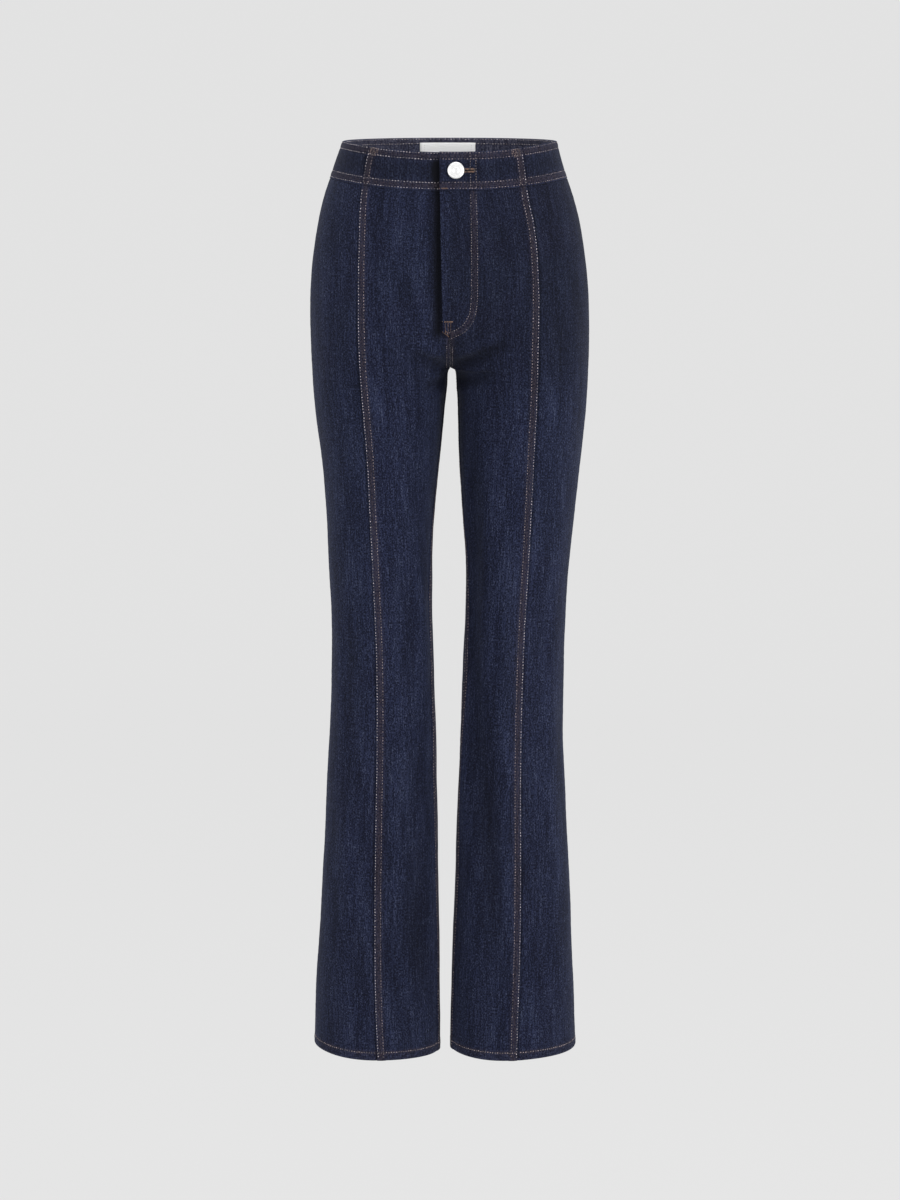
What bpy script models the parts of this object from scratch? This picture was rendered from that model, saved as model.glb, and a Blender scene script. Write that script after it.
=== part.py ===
"""Bootcut jeans, filled out and hollow, as a garment held at its waist.

+X is the wearer's left, -Y the front, +Z up, and the origin is the centre of the waist ring.
Every cloth piece is a wall between an outer and an inner grid of points. The grids come from
level sections of the trousers, one table row for each section, so that neighbouring pieces share
their seam lines and stay a small gap apart. Lengths in the tables are millimetres.
"""

import math

import bmesh
import bpy
import numpy as np
from mathutils import Matrix, Vector

MM = 0.001

# cloth and seams
DENIM = 1.2  # one layer
FLY = 2.4  # the front with its fly facing, two layers
BAND = 2.4  # waistband, two layers
HEM = 3.0  # the hem turned up twice
LABEL = 1.0
ZIP = 1.2  # the zip's tape
SEAM_GAP = 0.3  # between pieces that are sewn to each other

# levels, measured down from the waistband's top edge at the side
BAND_HEIGHT = 43.0
HEM_HEIGHT = 11.0
CROTCH = -264.0
FLY_END = -218.0
HEM_LEVEL = -1095.0
CROTCH_Y = 8.0

# fly and button
OVERLAP = 10.5  # how far the left front reaches past the centre
UNDERLAP = 30.0  # how far the right waistband reaches under the left one
FLY_RISE = 1.5  # the overlap stands out by this, and the underlap lies back by it
BUTTON_AT = 6.6  # from the centre, towards the wearer's left
BUTTON_LEVEL = -21.0
BUTTON_DIAMETER = 20.0
SHANK_DIAMETER = 5.0

# Outline by level: the outermost points of the wearer's right and left side from the middle
# plane, the front and the back, and where the side seam lies front to back.
SECTIONS = [
    # level, out_right, out_left, front, back, side_y
    (6, 123.0, 123.0, -95.2, 95.2, 0),
    (-28, 134.8, 131.6, -99.8, 101.4, 0),
    (-60, 146.4, 143.2, -103.4, 107.4, 1),
    (-103, 157.0, 154.4, -105.8, 114.4, 2),
    (-150, 162.6, 160.6, -106.0, 119.4, 3),
    (-200, 164.5, 163.8, -103.2, 119.6, 3),
    (-244, 164.4, 164.3, -98.2, 112.2, 4),
    (-284, 162.3, 162.7, -91.0, 101.4, 4),
    (-330, 157.8, 159.6, -84.6, 91.4, 4),
    (-387, 151.6, 154.4, -78.8, 82.6, 3),
    (-440, 147.3, 148.2, -74.6, 76.4, 2),
    (-495, 144.7, 142.8, -71.0, 71.2, 2),
    (-560, 142.2, 138.5, -67.6, 66.2, 1),
    (-630, 142.2, 136.6, -65.4, 63.9, 0),
    (-715, 146.2, 137.0, -64.4, 64.8, 0),
    (-800, 150.8, 140.6, -64.5, 66.8, 0),
    (-900, 155.8, 145.8, -65.2, 67.5, 0),
    (-1000, 162.6, 150.2, -66.3, 67.1, 0),
    (-1050, 165.2, 152.6, -66.9, 67.0, 0),
    (-1100, 166.4, 154.2, -67.3, 67.0, 0),
]

# The inner leg's distance from the middle plane, from the crotch down.
INNER_LEGS = [
    # level, right, left
    (-264, 0.0, 0.0),
    (-265.4, 0.3, 3.2),
    (-266.6, 1.1, 5.0),
    (-268.6, 2.2, 6.1),
    (-273, 3.0, 6.9),
    (-284, 3.9, 8.2),
    (-303, 5.9, 9.5),
    (-327, 8.3, 10.2),
    (-351, 10.8, 11.0),
    (-387, 14.4, 12.6),
    (-423, 17.8, 14.5),
    (-459, 20.2, 16.9),
    (-495, 21.4, 18.9),
    (-540, 21.4, 19.2),
    (-616, 19.4, 17.0),
    (-665, 18.1, 15.4),
    (-715, 16.9, 12.9),
    (-764, 15.8, 10.3),
    (-840, 14.5, 7.6),
    (-914, 13.4, 5.0),
    (-1015, 12.3, 1.6),
    (-1100, 12.2, 0.2),
]

# Form of each section: where the front and back are fullest, as a share of the way to the side,
# how square the outer side is, how far the legs' rounds run into each other over the
# middle plane and how softly they meet there, and how far the top dips in front and rises behind.
FORMS = [
    # level, hub, square, meet, soft, dip_front, rise_back
    (6, 0.0, 2.30, 900, 70, 13.8, 6.0),
    (-43, 0.0, 2.34, 900, 70, 14.6, 4.5),
    (-90, 0.0, 2.36, 900, 70, 8.6, 1.6),
    (-120, 0.03, 2.36, 700, 66, 4.4, 0.5),
    (-150, 0.11, 2.34, 420, 58, 1.4, 0.0),
    (-180, 0.23, 2.30, 210, 48, 0.0, 0.0),
    (-205, 0.345, 2.25, 108, 38, 0.0, 0.0),
    (-222, 0.412, 2.21, 60, 29, 0.0, 0.0),
    (-235, 0.453, 2.18, 34, 22, 0.0, 0.0),
    (-246, 0.479, 2.16, 18, 15, 0.0, 0.0),
    (-254, 0.491, 2.15, 9, 9, 0.0, 0.0),
    (-260, 0.497, 2.14, 3.2, 4, 0.0, 0.0),
    (-264, 0.500, 2.13, 0.0, 0.0, 0.0, 0.0),
    (-285, 0.512, 2.11, 0.0, 0.0, 0.0, 0.0),
    (-303, 0.520, 2.10, 0.0, 0.0, 0.0, 0.0),
    (-351, 0.536, 2.08, 0.0, 0.0, 0.0, 0.0),
    (-400, 0.553, 2.07, 0.0, 0.0, 0.0, 0.0),
    (-459, 0.568, 2.06, 0.0, 0.0, 0.0, 0.0),
    (-540, 0.575, 2.05, 0.0, 0.0, 0.0, 0.0),
    (-616, 0.568, 2.04, 0.0, 0.0, 0.0, 0.0),
    (-715, 0.553, 2.04, 0.0, 0.0, 0.0, 0.0),
    (-840, 0.537, 2.04, 0.0, 0.0, 0.0, 0.0),
    (-1015, 0.520, 2.04, 0.0, 0.0, 0.0, 0.0),
    (-1100, 0.518, 2.04, 0.0, 0.0, 0.0, 0.0),
]

# How far the inner leg seam lies in front of the leg's innermost line, along the cloth.
INSEAM_FORWARD = [
    # level, forward
    (-264, 0.0),
    (-300, 0.6),
    (-345, 3.0),
    (-400, 7.6),
    (-460, 12.0),
    (-530, 14.5),
    (-620, 15.5),
    (-760, 15.5),
    (-900, 14.0),
    (-1000, 12.0),
    (-1100, 10.5),
]

# The long front seam's distance from the middle plane.
FRONT_SEAMS = [
    # level, right, left
    (6, 91.5, 80.5),
    (-15, 95.2, 84.2),
    (-36, 99.2, 87.0),
    (-57, 102.0, 90.0),
    (-85, 103.8, 95.6),
    (-129, 105.2, 100.5),
    (-172, 105.6, 102.4),
    (-215, 105.6, 102.2),
    (-259, 104.4, 101.8),
    (-304, 101.6, 101.0),
    (-348, 98.2, 99.0),
    (-397, 95.7, 97.0),
    (-447, 93.7, 94.9),
    (-497, 91.5, 92.6),
    (-547, 89.4, 89.6),
    (-599, 87.7, 87.3),
    (-653, 87.2, 85.8),
    (-704, 87.5, 85.0),
    (-803, 89.6, 84.9),
    (-902, 90.8, 85.2),
    (-994, 90.8, 84.0),
    (-1069, 88.9, 81.8),
    (-1100, 87.4, 81.2),
]

# The hem rises a little on its outer side.
HEM_RISE = {"right": 4.0, "left": 1.5}
HEM_TURN = {"right": -4.0, "left": 3.0}  # and its lowest place lies off its middle

# Levels of the body's grid rows. They close up at the crotch, where the form turns quickly.
BODY_LEVELS = [
    -BAND_HEIGHT - SEAM_GAP, -62, -85, -110, -138, -168, -198, FLY_END, -240, -251, -258.5,
    -262.6, CROTCH, -267, -273, -284, -305, -340, -385, -440, -505, -575, -650, -730, -820,
    -910, -1000, HEM_LEVEL + HEM_HEIGHT, HEM_LEVEL,
]
# Levels of the waistband's rows. The middle ones bound the buttonhole.
BAND_LEVELS = [0, -5.5, BUTTON_LEVEL + 2.7, BUTTON_LEVEL + 0.8, BUTTON_LEVEL - 0.8,
               BUTTON_LEVEL - 2.7, -27.5, -BAND_HEIGHT]

# Columns beside the centre front, then the count of even columns to the next seam.
BODY_NEAR = [0, 5.5, OVERLAP, 20]
BAND_NEAR = {"right": [0, 5.5, OVERLAP, 20], "left": [0, 3.6, 10.2, 26, UNDERLAP]}
CENTRE_COLUMNS, SIDE_COLUMNS, BACK_OUTER_COLUMNS, BACK_INNER_COLUMNS = 4, 6, 6, 4
LABEL_REACH = {"right": [0, 18.5, 37], "left": [0, 15.5, 31]}  # from the centre back

SIDES = {"right": -1, "left": 1}

MATERIALS = {
    # name: colour, roughness, metallic
    "denim": ((0.017, 0.021, 0.048), 0.85, 0.0),
    "label_cloth": ((0.82, 0.82, 0.80), 0.7, 0.0),
    "button_metal": ((0.78, 0.78, 0.77), 0.28, 1.0),
    "zip_tape": ((0.02, 0.024, 0.05), 0.8, 0.0),
}


def spline(table, column):
    """A table column as a natural cubic spline over the level."""
    x, y = np.array(sorted((row[0], row[column]) for row in table), float).T
    h = np.diff(x)
    m = np.zeros((len(x), len(x)))
    m[0, 0] = m[-1, -1] = 1
    r = np.zeros(len(x))
    for i in range(1, len(x) - 1):
        m[i, i - 1 : i + 2] = h[i - 1], 2 * (h[i - 1] + h[i]), h[i]
        r[i] = 6 * ((y[i + 1] - y[i]) / h[i] - (y[i] - y[i - 1]) / h[i - 1])
    bend = np.linalg.solve(m, r)

    def value(level):
        level = min(max(level, x[0]), x[-1])
        i = min(max(int(np.searchsorted(x, level)) - 1, 0), len(x) - 2)
        a, b = (x[i + 1] - level) / h[i], (level - x[i]) / h[i]
        return float(
            a * y[i] + b * y[i + 1]
            + ((a**3 - a) * bend[i] + (b**3 - b) * bend[i + 1]) * h[i] ** 2 / 6
        )

    return value


def steady(table, column):
    """A table column as a smooth curve over the level that never swings past its rows."""
    x, y = np.array(sorted((row[0], row[column]) for row in table), float).T
    h = np.diff(x)
    rise = np.diff(y) / h
    slope = np.concatenate([[rise[0]], np.zeros(len(x) - 2), [rise[-1]]])
    for k in range(1, len(x) - 1):
        if rise[k - 1] * rise[k] > 0:
            w1, w2 = 2 * h[k] + h[k - 1], h[k] + 2 * h[k - 1]
            slope[k] = (w1 + w2) / (w1 / rise[k - 1] + w2 / rise[k])

    def value(level):
        level = min(max(level, x[0]), x[-1])
        i = min(max(int(np.searchsorted(x, level)) - 1, 0), len(x) - 2)
        t = (level - x[i]) / h[i]
        return float(
            (2 * t**3 - 3 * t**2 + 1) * y[i] + (t**3 - 2 * t**2 + t) * h[i] * slope[i]
            + (3 * t**2 - 2 * t**3) * y[i + 1] + (t**3 - t**2) * h[i] * slope[i + 1]
        )

    return value


OUT = {"right": spline(SECTIONS, 1), "left": spline(SECTIONS, 2)}
FRONT, BACK, SIDE_Y = (spline(SECTIONS, column) for column in (3, 4, 5))
INNER = {"right": steady(INNER_LEGS, 1), "left": steady(INNER_LEGS, 2)}
HUB, SQUARE, MEET, SOFT, DIP, RISE = (steady(FORMS, column) for column in range(1, 7))
SEAM_X = {"right": spline(FRONT_SEAMS, 1), "left": spline(FRONT_SEAMS, 2)}
FORWARD = steady(INSEAM_FORWARD, 1)


def ease(t):
    t = min(max(t, 0.0), 1.0)
    return t * t * (3 - 2 * t)


def section(side, level, count=60):
    """The section of one side at a level, from the centre front (or inseam) round by the side
    seam to the centre back (or inseam): points, their arc lengths, and the side seam's arc."""
    out, inner = OUT[side](level), INNER[side](level) if level < CROTCH else 0.0
    front, back, side_y = FRONT(level), BACK(level), SIDE_Y(level)
    meet, soft = MEET(level), SOFT(level)
    seam_y = CROTCH_Y * (1 - 0.8 * ease((CROTCH - level) / 400))
    hub = out * HUB(level)
    s = np.linspace(0, 1, count)
    # the inner quarters: rounds that run together over the middle plane above the crotch
    across = (hub - inner) * (1 - np.cos(s * math.pi / 2))
    width = max(hub - inner, 1e-6)
    eased = np.hypot(across, soft) * width / math.hypot(width, soft)
    up = np.sqrt(np.maximum(1 - ((width - eased) / (width + meet)) ** 2, 0))
    up /= max(up[-1], 1e-9)
    turn = s * math.pi / 2
    reach, fall = np.sin(turn) ** (2 / SQUARE(level)), np.cos(turn) ** (2 / SQUARE(level))
    parts = [
        (inner + across, seam_y + (front - seam_y) * up),
        (hub + (out - hub) * reach, side_y + (front - side_y) * fall),
        (hub + (out - hub) * reach[::-1], side_y + (back - side_y) * fall[::-1]),
        (inner + across[::-1], seam_y + (back - seam_y) * up[::-1]),
    ]
    u = np.concatenate([p[0] for p in parts])
    y = np.concatenate([p[1] for p in parts])
    keep = np.ones(len(u), bool)
    keep[1:] = np.hypot(np.diff(u), np.diff(y)) > 1e-6
    side_index = int(keep[: 2 * count].sum()) - 1
    u, y = u[keep], y[keep]
    share = np.where(y < side_y, (side_y - y) / (side_y - front), (y - side_y) / (back - side_y))
    lift = np.where(y < side_y, -DIP(level) * share**2.2, RISE(level) * share)
    if level < -980:
        t = np.clip((u - hub) / (out - hub), -1, 1)
        turned = HEM_TURN[side] * t * (1 - t * t) * np.clip((side_y - y) / (side_y - front), 0, 1)
        lift = lift + (HEM_RISE[side] * t + turned) * ease((-980 - level) / 115)
    arc = np.concatenate([[0], np.cumsum(np.hypot(np.diff(u), np.diff(y)))])
    points = np.stack([SIDES[side] * u, y, level + lift], 1)
    return points, arc, arc[side_index]


def at(sec, arcs):
    """The points at these arcs. Past its end a leg's section goes on from its start."""
    points, arc, _ = sec
    arcs = np.asarray(arcs, float)
    arcs = np.where(arcs > arc[-1] + 1e-9, arcs - arc[-1], arcs)
    return np.stack([np.interp(arcs, arc, points[:, k]) for k in range(3)], 1)


def arc_of(sec, distances, behind=False):
    """The arcs of points at these distances from the middle plane, on the front or the back."""
    points, arc, side_arc = sec
    half = arc >= side_arc if behind else arc <= side_arc
    u, a = np.abs(points[half, 0]), arc[half]
    order = np.argsort(u, kind="stable")
    return np.interp(distances, u[order], a[order])


def spread(side, level, near, count, end):
    """Distances from the middle plane of a panel's columns, from its inner edge to end: first the
    near ones, then count even ones. Round the inner leg they follow its curve instead."""
    flat = np.concatenate([near, np.linspace(near[-1], end, count + 1)[1:]])
    k = ease((FLY_END - 2 - level) / (FLY_END - 2 - CROTCH))
    if k == 0:
        return flat
    inner = INNER[side](level) if level < CROTCH else 0.0
    radius = OUT[side](level) * HUB(level) - inner
    turn = math.acos(max(-1.0, min(1.0, 1 - (end - inner) / radius)))
    curved = inner + radius * (1 - np.cos(np.linspace(0, turn, len(flat))))
    return (1 - k) * flat + k * curved


def grid(side, levels, near, near_back=(0, 10, 22)):
    """Rows of points for one side, with the column numbers of its seams."""
    rows = []
    for level in levels:
        sec = section(side, level)
        side_arc, total = sec[2], sec[1][-1]
        forward = FORWARD(level) if level < CROTCH else 0.0
        seam_x = SEAM_X[side](level)
        centre = arc_of(sec, spread(side, level, near, CENTRE_COLUMNS, seam_x))
        centre[0] = 0
        centre = forward + centre * (1 - forward / centre[-1])
        sides = np.linspace(centre[-1], side_arc, SIDE_COLUMNS + 1)[1:]
        inner_back = arc_of(sec, spread(side, level, near_back, BACK_INNER_COLUMNS, seam_x), True)[::-1]
        inner_back[-1] = total
        inner_back += forward * (inner_back - inner_back[0]) / (total - inner_back[0])
        outer_back = np.linspace(side_arc, inner_back[0], BACK_OUTER_COLUMNS + 1)[1:]
        rows.append(at(sec, np.concatenate([centre, sides, outer_back, inner_back[1:]])))
    a = len(near) - 1 + CENTRE_COLUMNS
    b = a + SIDE_COLUMNS
    return np.array(rows), (0, a, b, rows[0].shape[0] - 1)


def normals(grids):
    """Outward directions at every grid point, averaged over all faces that meet there."""
    total = {}
    key = lambda p: tuple(np.round(p, 3))
    for side, g in grids.items():
        n, m = g.shape[:2]
        for i in range(n - 1):
            for j in range(m - 1):
                a, b, c, d = g[i, j], g[i, j + 1], g[i + 1, j + 1], g[i + 1, j]
                face = np.cross(c - a, d - b) * -SIDES[side]
                for p in (a, b, c, d):
                    total[key(p)] = total.get(key(p), np.zeros(3)) + face
    out = {}
    for side, g in grids.items():
        n = np.array([[total[key(p)] for p in row] for row in g])
        # crossing the facets' diagonals gives the outward side for a grid that runs front to back
        out[side] = n / np.linalg.norm(n, axis=2, keepdims=True)
    return out


def trim(points, norms, side, first, last):
    """Moves the first and last column in by half a seam's gap, along the surface."""
    p = points.copy()
    n, m = p.shape[:2]
    for end, nxt, sign in ((0, 1, first), (m - 1, m - 2, last)):
        if not sign:
            continue
        for i in range(n):
            if sign == "plane":  # the centre front or back: keep clear of the middle plane
                p[i, end, 0] = SIDES[side] * max(abs(p[i, end, 0]), SEAM_GAP / 2)
                continue
            way = p[i, nxt] - p[i, end]
            p[i, end] += way / np.linalg.norm(way) * SEAM_GAP / 2
    return p


def wall(name, outer, inner, material, flip, skip=()):
    """A closed wall between two grids of points. Cells in skip are left open."""
    n, m = outer.shape[:2]
    cells = {(i, j) for i in range(n - 1) for j in range(m - 1)} - set(skip)
    bm = bmesh.new()
    used = sorted({(i + a, j + b) for i, j in cells for a in (0, 1) for b in (0, 1)})
    out = {q: bm.verts.new(outer[q] * MM) for q in used}
    inn = {q: bm.verts.new(inner[q] * MM) for q in used}
    def face(*v):
        bm.faces.new(v[::-1] if flip else v)
    for i, j in sorted(cells):
        a, b, c, d = (i, j), (i, j + 1), (i + 1, j + 1), (i + 1, j)
        face(out[a], out[b], out[c])
        face(out[a], out[c], out[d])
        face(inn[a], inn[c], inn[b])
        face(inn[a], inn[d], inn[c])
        for p, q, beside in ((b, a, (i - 1, j)), (c, b, (i, j + 1)), (d, c, (i + 1, j)), (a, d, (i, j - 1))):
            if beside not in cells:
                face(out[p], out[q], inn[q])
                face(out[p], inn[q], inn[p])
    mesh = bpy.data.meshes.new(name)
    bm.to_mesh(mesh)
    bm.free()
    mesh.shade_smooth()
    mesh.set_sharp_from_angle(angle=math.radians(35))
    ob = bpy.data.objects.new(name, mesh)
    ob.data.materials.append(material)
    parts.objects.link(ob)
    return ob


def fly_fade(level):
    """1 along the fly, and gone a little below its end."""
    return 1 - ease((FLY_END - level) / 16)


def near_centre(arc, full, gone):
    return 1 - ease((arc - full) / (gone - full))


def make_body():
    grids, seams = {}, {}
    for side in SIDES:
        grids[side], seams[side] = grid(side, BODY_LEVELS, BODY_NEAR)
    norms = normals(grids)
    for side, sign in SIDES.items():
        g, nv = grids[side], norms[side]
        thick = np.full(g.shape[:2], DENIM)
        thick[-2:, :] = HEM
        move = np.zeros(g.shape[:2])
        for i, level in enumerate(BODY_LEVELS):
            if level < FLY_END - 20:
                continue
            arcs = np.concatenate([[0], np.cumsum(np.linalg.norm(np.diff(g[i], axis=0), axis=1))])
            fade = fly_fade(level)
            for j in range(seams[side][1]):
                move[i, j] = sign * FLY_RISE * near_centre(arcs[j], 12, 46) * fade
                if side == "left":
                    thick[i, j] += (FLY - DENIM) * near_centre(arcs[j], 20, 34) * fade
        outer_all = g + nv * move[..., None]
        inner_all = outer_all - nv * thick[..., None]
        # the crotch rows: an inner face never crosses the middle plane
        for j in (0, -1):
            inner_all[:, j, 0] = sign * np.maximum(np.abs(outer_all[:, j, 0]), sign * inner_all[:, j, 0])
        c0, c1, c2, c3 = seams[side]
        above = [lv > CROTCH - 0.5 for lv in BODY_LEVELS]
        for name, a, b in (("front_centre", c0, c1), ("front_side", c1, c2), ("back", c2, c3)):
            outer, inner = outer_all[:, a : b + 1].copy(), inner_all[:, a : b + 1].copy()
            for end, nxt in ((0, 1), (-1, -2)):
                middle = (a == c0 and end == 0) or (b == c3 and end == -1)
                for i in range(len(BODY_LEVELS)):
                    way = outer[i, nxt] - outer[i, end]
                    way = way / np.linalg.norm(way) * SEAM_GAP / 2
                    for layer in (outer, inner):
                        if middle and above[i]:
                            layer[i, end, 0] = sign * max(sign * layer[i, end, 0], SEAM_GAP / 2)
                            if BODY_LEVELS[i] < CROTCH + 4:  # at the crotch point all four meet
                                layer[i, end] += way
                        else:
                            layer[i, end] += way
            skip = []
            if name == "front_centre" and side == "left":
                # the overlap: the right side's own columns, moved out
                other, on = grids["right"], norms["right"]
                reach = [2, 1]
                lap = np.array([[other[i, j] + on[i, j] * FLY_RISE for j in reach] for i in range(len(BODY_LEVELS))])
                under = np.array([[lap[i, k] - on[i, j] * FLY for k, j in enumerate(reach)] for i in range(len(BODY_LEVELS))])
                outer = np.concatenate([lap, outer], 1)
                inner = np.concatenate([under, inner], 1)
                last = BODY_LEVELS.index(FLY_END)
                skip = [(i, j) for i in range(last, len(BODY_LEVELS) - 1) for j in (0, 1)]
            wall(f"{name}_{side}", outer, inner, materials["denim"], side == "left", skip)

    # the zip: its tape lies behind both fronts, with the closed chain and the slider raised inwards
    rows = [i for i, lv in enumerate(BODY_LEVELS) if FLY_END <= lv < -60]
    cols = [("right", 1), ("right", 0), ("left", 1), ("left", 2), ("left", 3)]
    outer, inner = [], []
    for i in rows:
        p = np.array([grids[s][i, j] for s, j in cols])
        n = np.array([norms[s][i, j] for s, j in cols])
        p = p - n * (FLY_RISE + DENIM + SEAM_GAP)
        depth = np.array([ZIP, ZIP, ZIP + 1.4, ZIP + 1.4, ZIP])
        if i == rows[0]:
            depth = depth + np.array([0, 0, 1.8, 1.8, 0])
        outer.append(p)
        inner.append(p - n * depth[:, None])
    wall("fly_zip", np.array(outer), np.array(inner), materials["zip_tape"], True)


def make_band():
    grids, seams = {}, {}
    for side in SIDES:
        grids[side], seams[side] = grid(side, BAND_LEVELS, BAND_NEAR[side], LABEL_REACH[side])
    norms = normals(grids)
    rows = len(BAND_LEVELS)
    face = 0.6  # the band stands this far out of the fronts
    layers = {}
    for side, sign in SIDES.items():
        g, nv = grids[side], norms[side]
        arcs = np.concatenate([[0], np.cumsum(np.linalg.norm(np.diff(g[0], axis=0), axis=1))])
        move = np.array([face + (sign * 1.8 * near_centre(a, 14, 48) if a < 60 else 0) for a in arcs])
        outer = g + nv * move[None, :, None]
        layers[side] = (outer, outer - nv * BAND)
    for side, sign in SIDES.items():
        c0, c1, c2, c3 = seams[side]
        for name, a, b in (("band_centre", c0, c1), ("band_side", c1, c2)):
            outer, inner = (layer[:, a : b + 1].copy() for layer in layers[side])
            for layer in (outer, inner):
                for end, nxt in ((0, 1), (-1, -2)):
                    if name == "band_centre" and end == 0:
                        continue
                    way = layer[:, nxt] - layer[:, end]
                    layer[:, end] += way / np.linalg.norm(way, axis=1)[:, None] * SEAM_GAP / 2
            skip = []
            if name == "band_centre":
                other = "left" if side == "right" else "right"
                reach = [4, 3, 2, 1] if side == "right" else [2, 1]
                shift = -1.5 if side == "right" else face + 1.8
                lap = np.stack([grids[other][:, j] + norms[other][:, j] * shift for j in reach], 1)
                under = lap - np.stack([norms[other][:, j] for j in reach], 1) * BAND
                if side == "right":
                    outer[:, 0] += norms[side][:, 0] * (shift - face + 1.8)
                    inner[:, 0] += norms[side][:, 0] * (shift - face + 1.8)
                outer, inner = np.concatenate([lap, outer], 1), np.concatenate([under, inner], 1)
                if side == "left":  # the buttonhole: an eye for the shank and a slit
                    skip = [(i, len(reach) + 1) for i in (2, 3, 4)] + [(3, len(reach) + 2)]
            wall(f"{name}_{side}", outer, inner, materials["denim"], side == "left", skip)
    # the back, from side seam to side seam, wearer's left to right
    outer, inner = (
        np.concatenate([layers["left"][k][:, seams["left"][2] :], layers["right"][k][:, seams["right"][2] : -1][:, ::-1]], 1)
        for k in (0, 1)
    )
    for layer in (outer, inner):
        for end, nxt in ((0, 1), (-1, -2)):
            way = layer[:, nxt] - layer[:, end]
            layer[:, end] += way / np.linalg.norm(way, axis=1)[:, None] * SEAM_GAP / 2
    wall("band_back", outer, inner, materials["denim"], True)
    # the label, on the inner face at the centre back, from the band's own points
    half = {s: len(LABEL_REACH[s]) for s in SIDES}
    rows = [BAND_LEVELS.index(lv) for lv in BAND_LEVELS if -27.5 <= lv <= -5.5]
    pick = lambda src: np.concatenate([src["left"][rows][:, -half["left"] :], src["right"][rows][:, -half["right"] : -1][:, ::-1]], 1)
    base, nv = pick({s: layers[s][1] for s in SIDES}), pick(norms)
    wall("label", base - nv * SEAM_GAP, base - nv * (SEAM_GAP + LABEL), materials["label_cloth"], True)


def make_button():
    """A turned button: a domed cap with a rolled edge, on a shank through the buttonhole."""
    sec = section("left", BUTTON_LEVEL)
    low, high = section("left", BUTTON_LEVEL - 3), section("left", BUTTON_LEVEL + 3)
    spot = at(sec, [BUTTON_AT])[0]
    along = at(sec, [BUTTON_AT + 4])[0] - at(sec, [BUTTON_AT - 4])[0]
    up = at(high, [BUTTON_AT])[0] - at(low, [BUTTON_AT])[0]
    out = np.cross(along, up)
    out /= np.linalg.norm(out)
    r, s = BUTTON_DIAMETER / 2, SHANK_DIAMETER / 2
    cap = 2.9  # the cap's underside, just off the waistband
    foot = -1.5 + SEAM_GAP
    profile = [
        # radius, height
        (0, cap + 3.9), (r * 0.45, cap + 3.75), (r * 0.78, cap + 3.2), (r * 0.94, cap + 2.3),
        (r, cap + 1.3), (r * 0.96, cap + 0.4), (r * 0.86, cap), (s, cap), (s, foot), (0, foot),
    ]
    mesh = bpy.data.meshes.new("button")
    mesh.from_pydata([(a * MM, 0, b * MM) for a, b in profile], [(i, i + 1) for i in range(len(profile) - 1)], [])
    ob = bpy.data.objects.new("button", mesh)
    ob.data.materials.append(materials["button_metal"])
    parts.objects.link(ob)
    screw = ob.modifiers.new("turned", "SCREW")
    screw.steps = screw.render_steps = 24
    screw.use_merge_vertices = True
    screw.merge_threshold = 0.00005
    screw.use_smooth_shade = True
    z = Vector(out)
    x = Vector(along).normalized()
    y = z.cross(x)
    ob.matrix_world = Matrix.Translation(Vector(spot) * MM) @ Matrix((x, y, z)).transposed().to_4x4()


for ob in list(bpy.data.objects):
    bpy.data.objects.remove(ob, do_unlink=True)

parts = bpy.data.collections.new("bootcut_jeans")
bpy.context.scene.collection.children.link(parts)
materials = {}
for name, (colour, roughness, metallic) in MATERIALS.items():
    mat = bpy.data.materials.new(name)
    mat.use_nodes = True
    shader = mat.node_tree.nodes["Principled BSDF"]
    shader.inputs["Base Color"].default_value = (*colour, 1)
    shader.inputs["Roughness"].default_value = roughness
    shader.inputs["Metallic"].default_value = metallic
    mat.diffuse_color = (*colour, 1)
    materials[name] = mat

make_body()
make_band()
make_button()
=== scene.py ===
"""Bootcut jeans, filled out and hollow: the cloth, its seams and stitching, button and zip.

Every cloth piece follows the same level sections as the solids that it stands for, at about 3 mm,
with the seams, rows of stitching, hems and creases in its surface. Lengths are millimetres until
a mesh is made.
"""

import math

import bpy
import numpy as np
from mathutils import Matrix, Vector
from mathutils.bvhtree import BVHTree


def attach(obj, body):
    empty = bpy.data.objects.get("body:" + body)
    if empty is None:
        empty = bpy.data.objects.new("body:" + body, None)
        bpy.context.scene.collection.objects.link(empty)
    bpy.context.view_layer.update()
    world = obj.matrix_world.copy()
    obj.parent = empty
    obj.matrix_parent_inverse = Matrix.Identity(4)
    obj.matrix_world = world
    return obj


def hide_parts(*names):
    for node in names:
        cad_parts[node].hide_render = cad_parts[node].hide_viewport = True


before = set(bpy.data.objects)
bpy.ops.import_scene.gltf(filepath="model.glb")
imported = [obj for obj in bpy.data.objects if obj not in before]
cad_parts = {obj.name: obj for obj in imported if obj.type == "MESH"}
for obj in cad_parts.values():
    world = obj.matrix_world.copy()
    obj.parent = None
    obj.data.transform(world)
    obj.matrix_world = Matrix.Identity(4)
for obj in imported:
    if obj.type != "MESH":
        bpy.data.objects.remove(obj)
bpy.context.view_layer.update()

MM = 0.001

# ---------------------------------------------------------------- camera

camera_data = bpy.data.cameras.new("camera")
camera_data.sensor_fit = "VERTICAL"
camera_data.sensor_height = 36
camera_data.lens = 80.91
camera_data.clip_end = 50
camera = bpy.data.objects.new("camera", camera_data)
camera.location = (0, -3.2, -0.0591)
camera.rotation_euler = (math.radians(90 - 8.6008), 0, 0)
bpy.context.scene.collection.objects.link(camera)
bpy.context.scene.camera = camera

# ---------------------------------------------------------------- the garment's form

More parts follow.
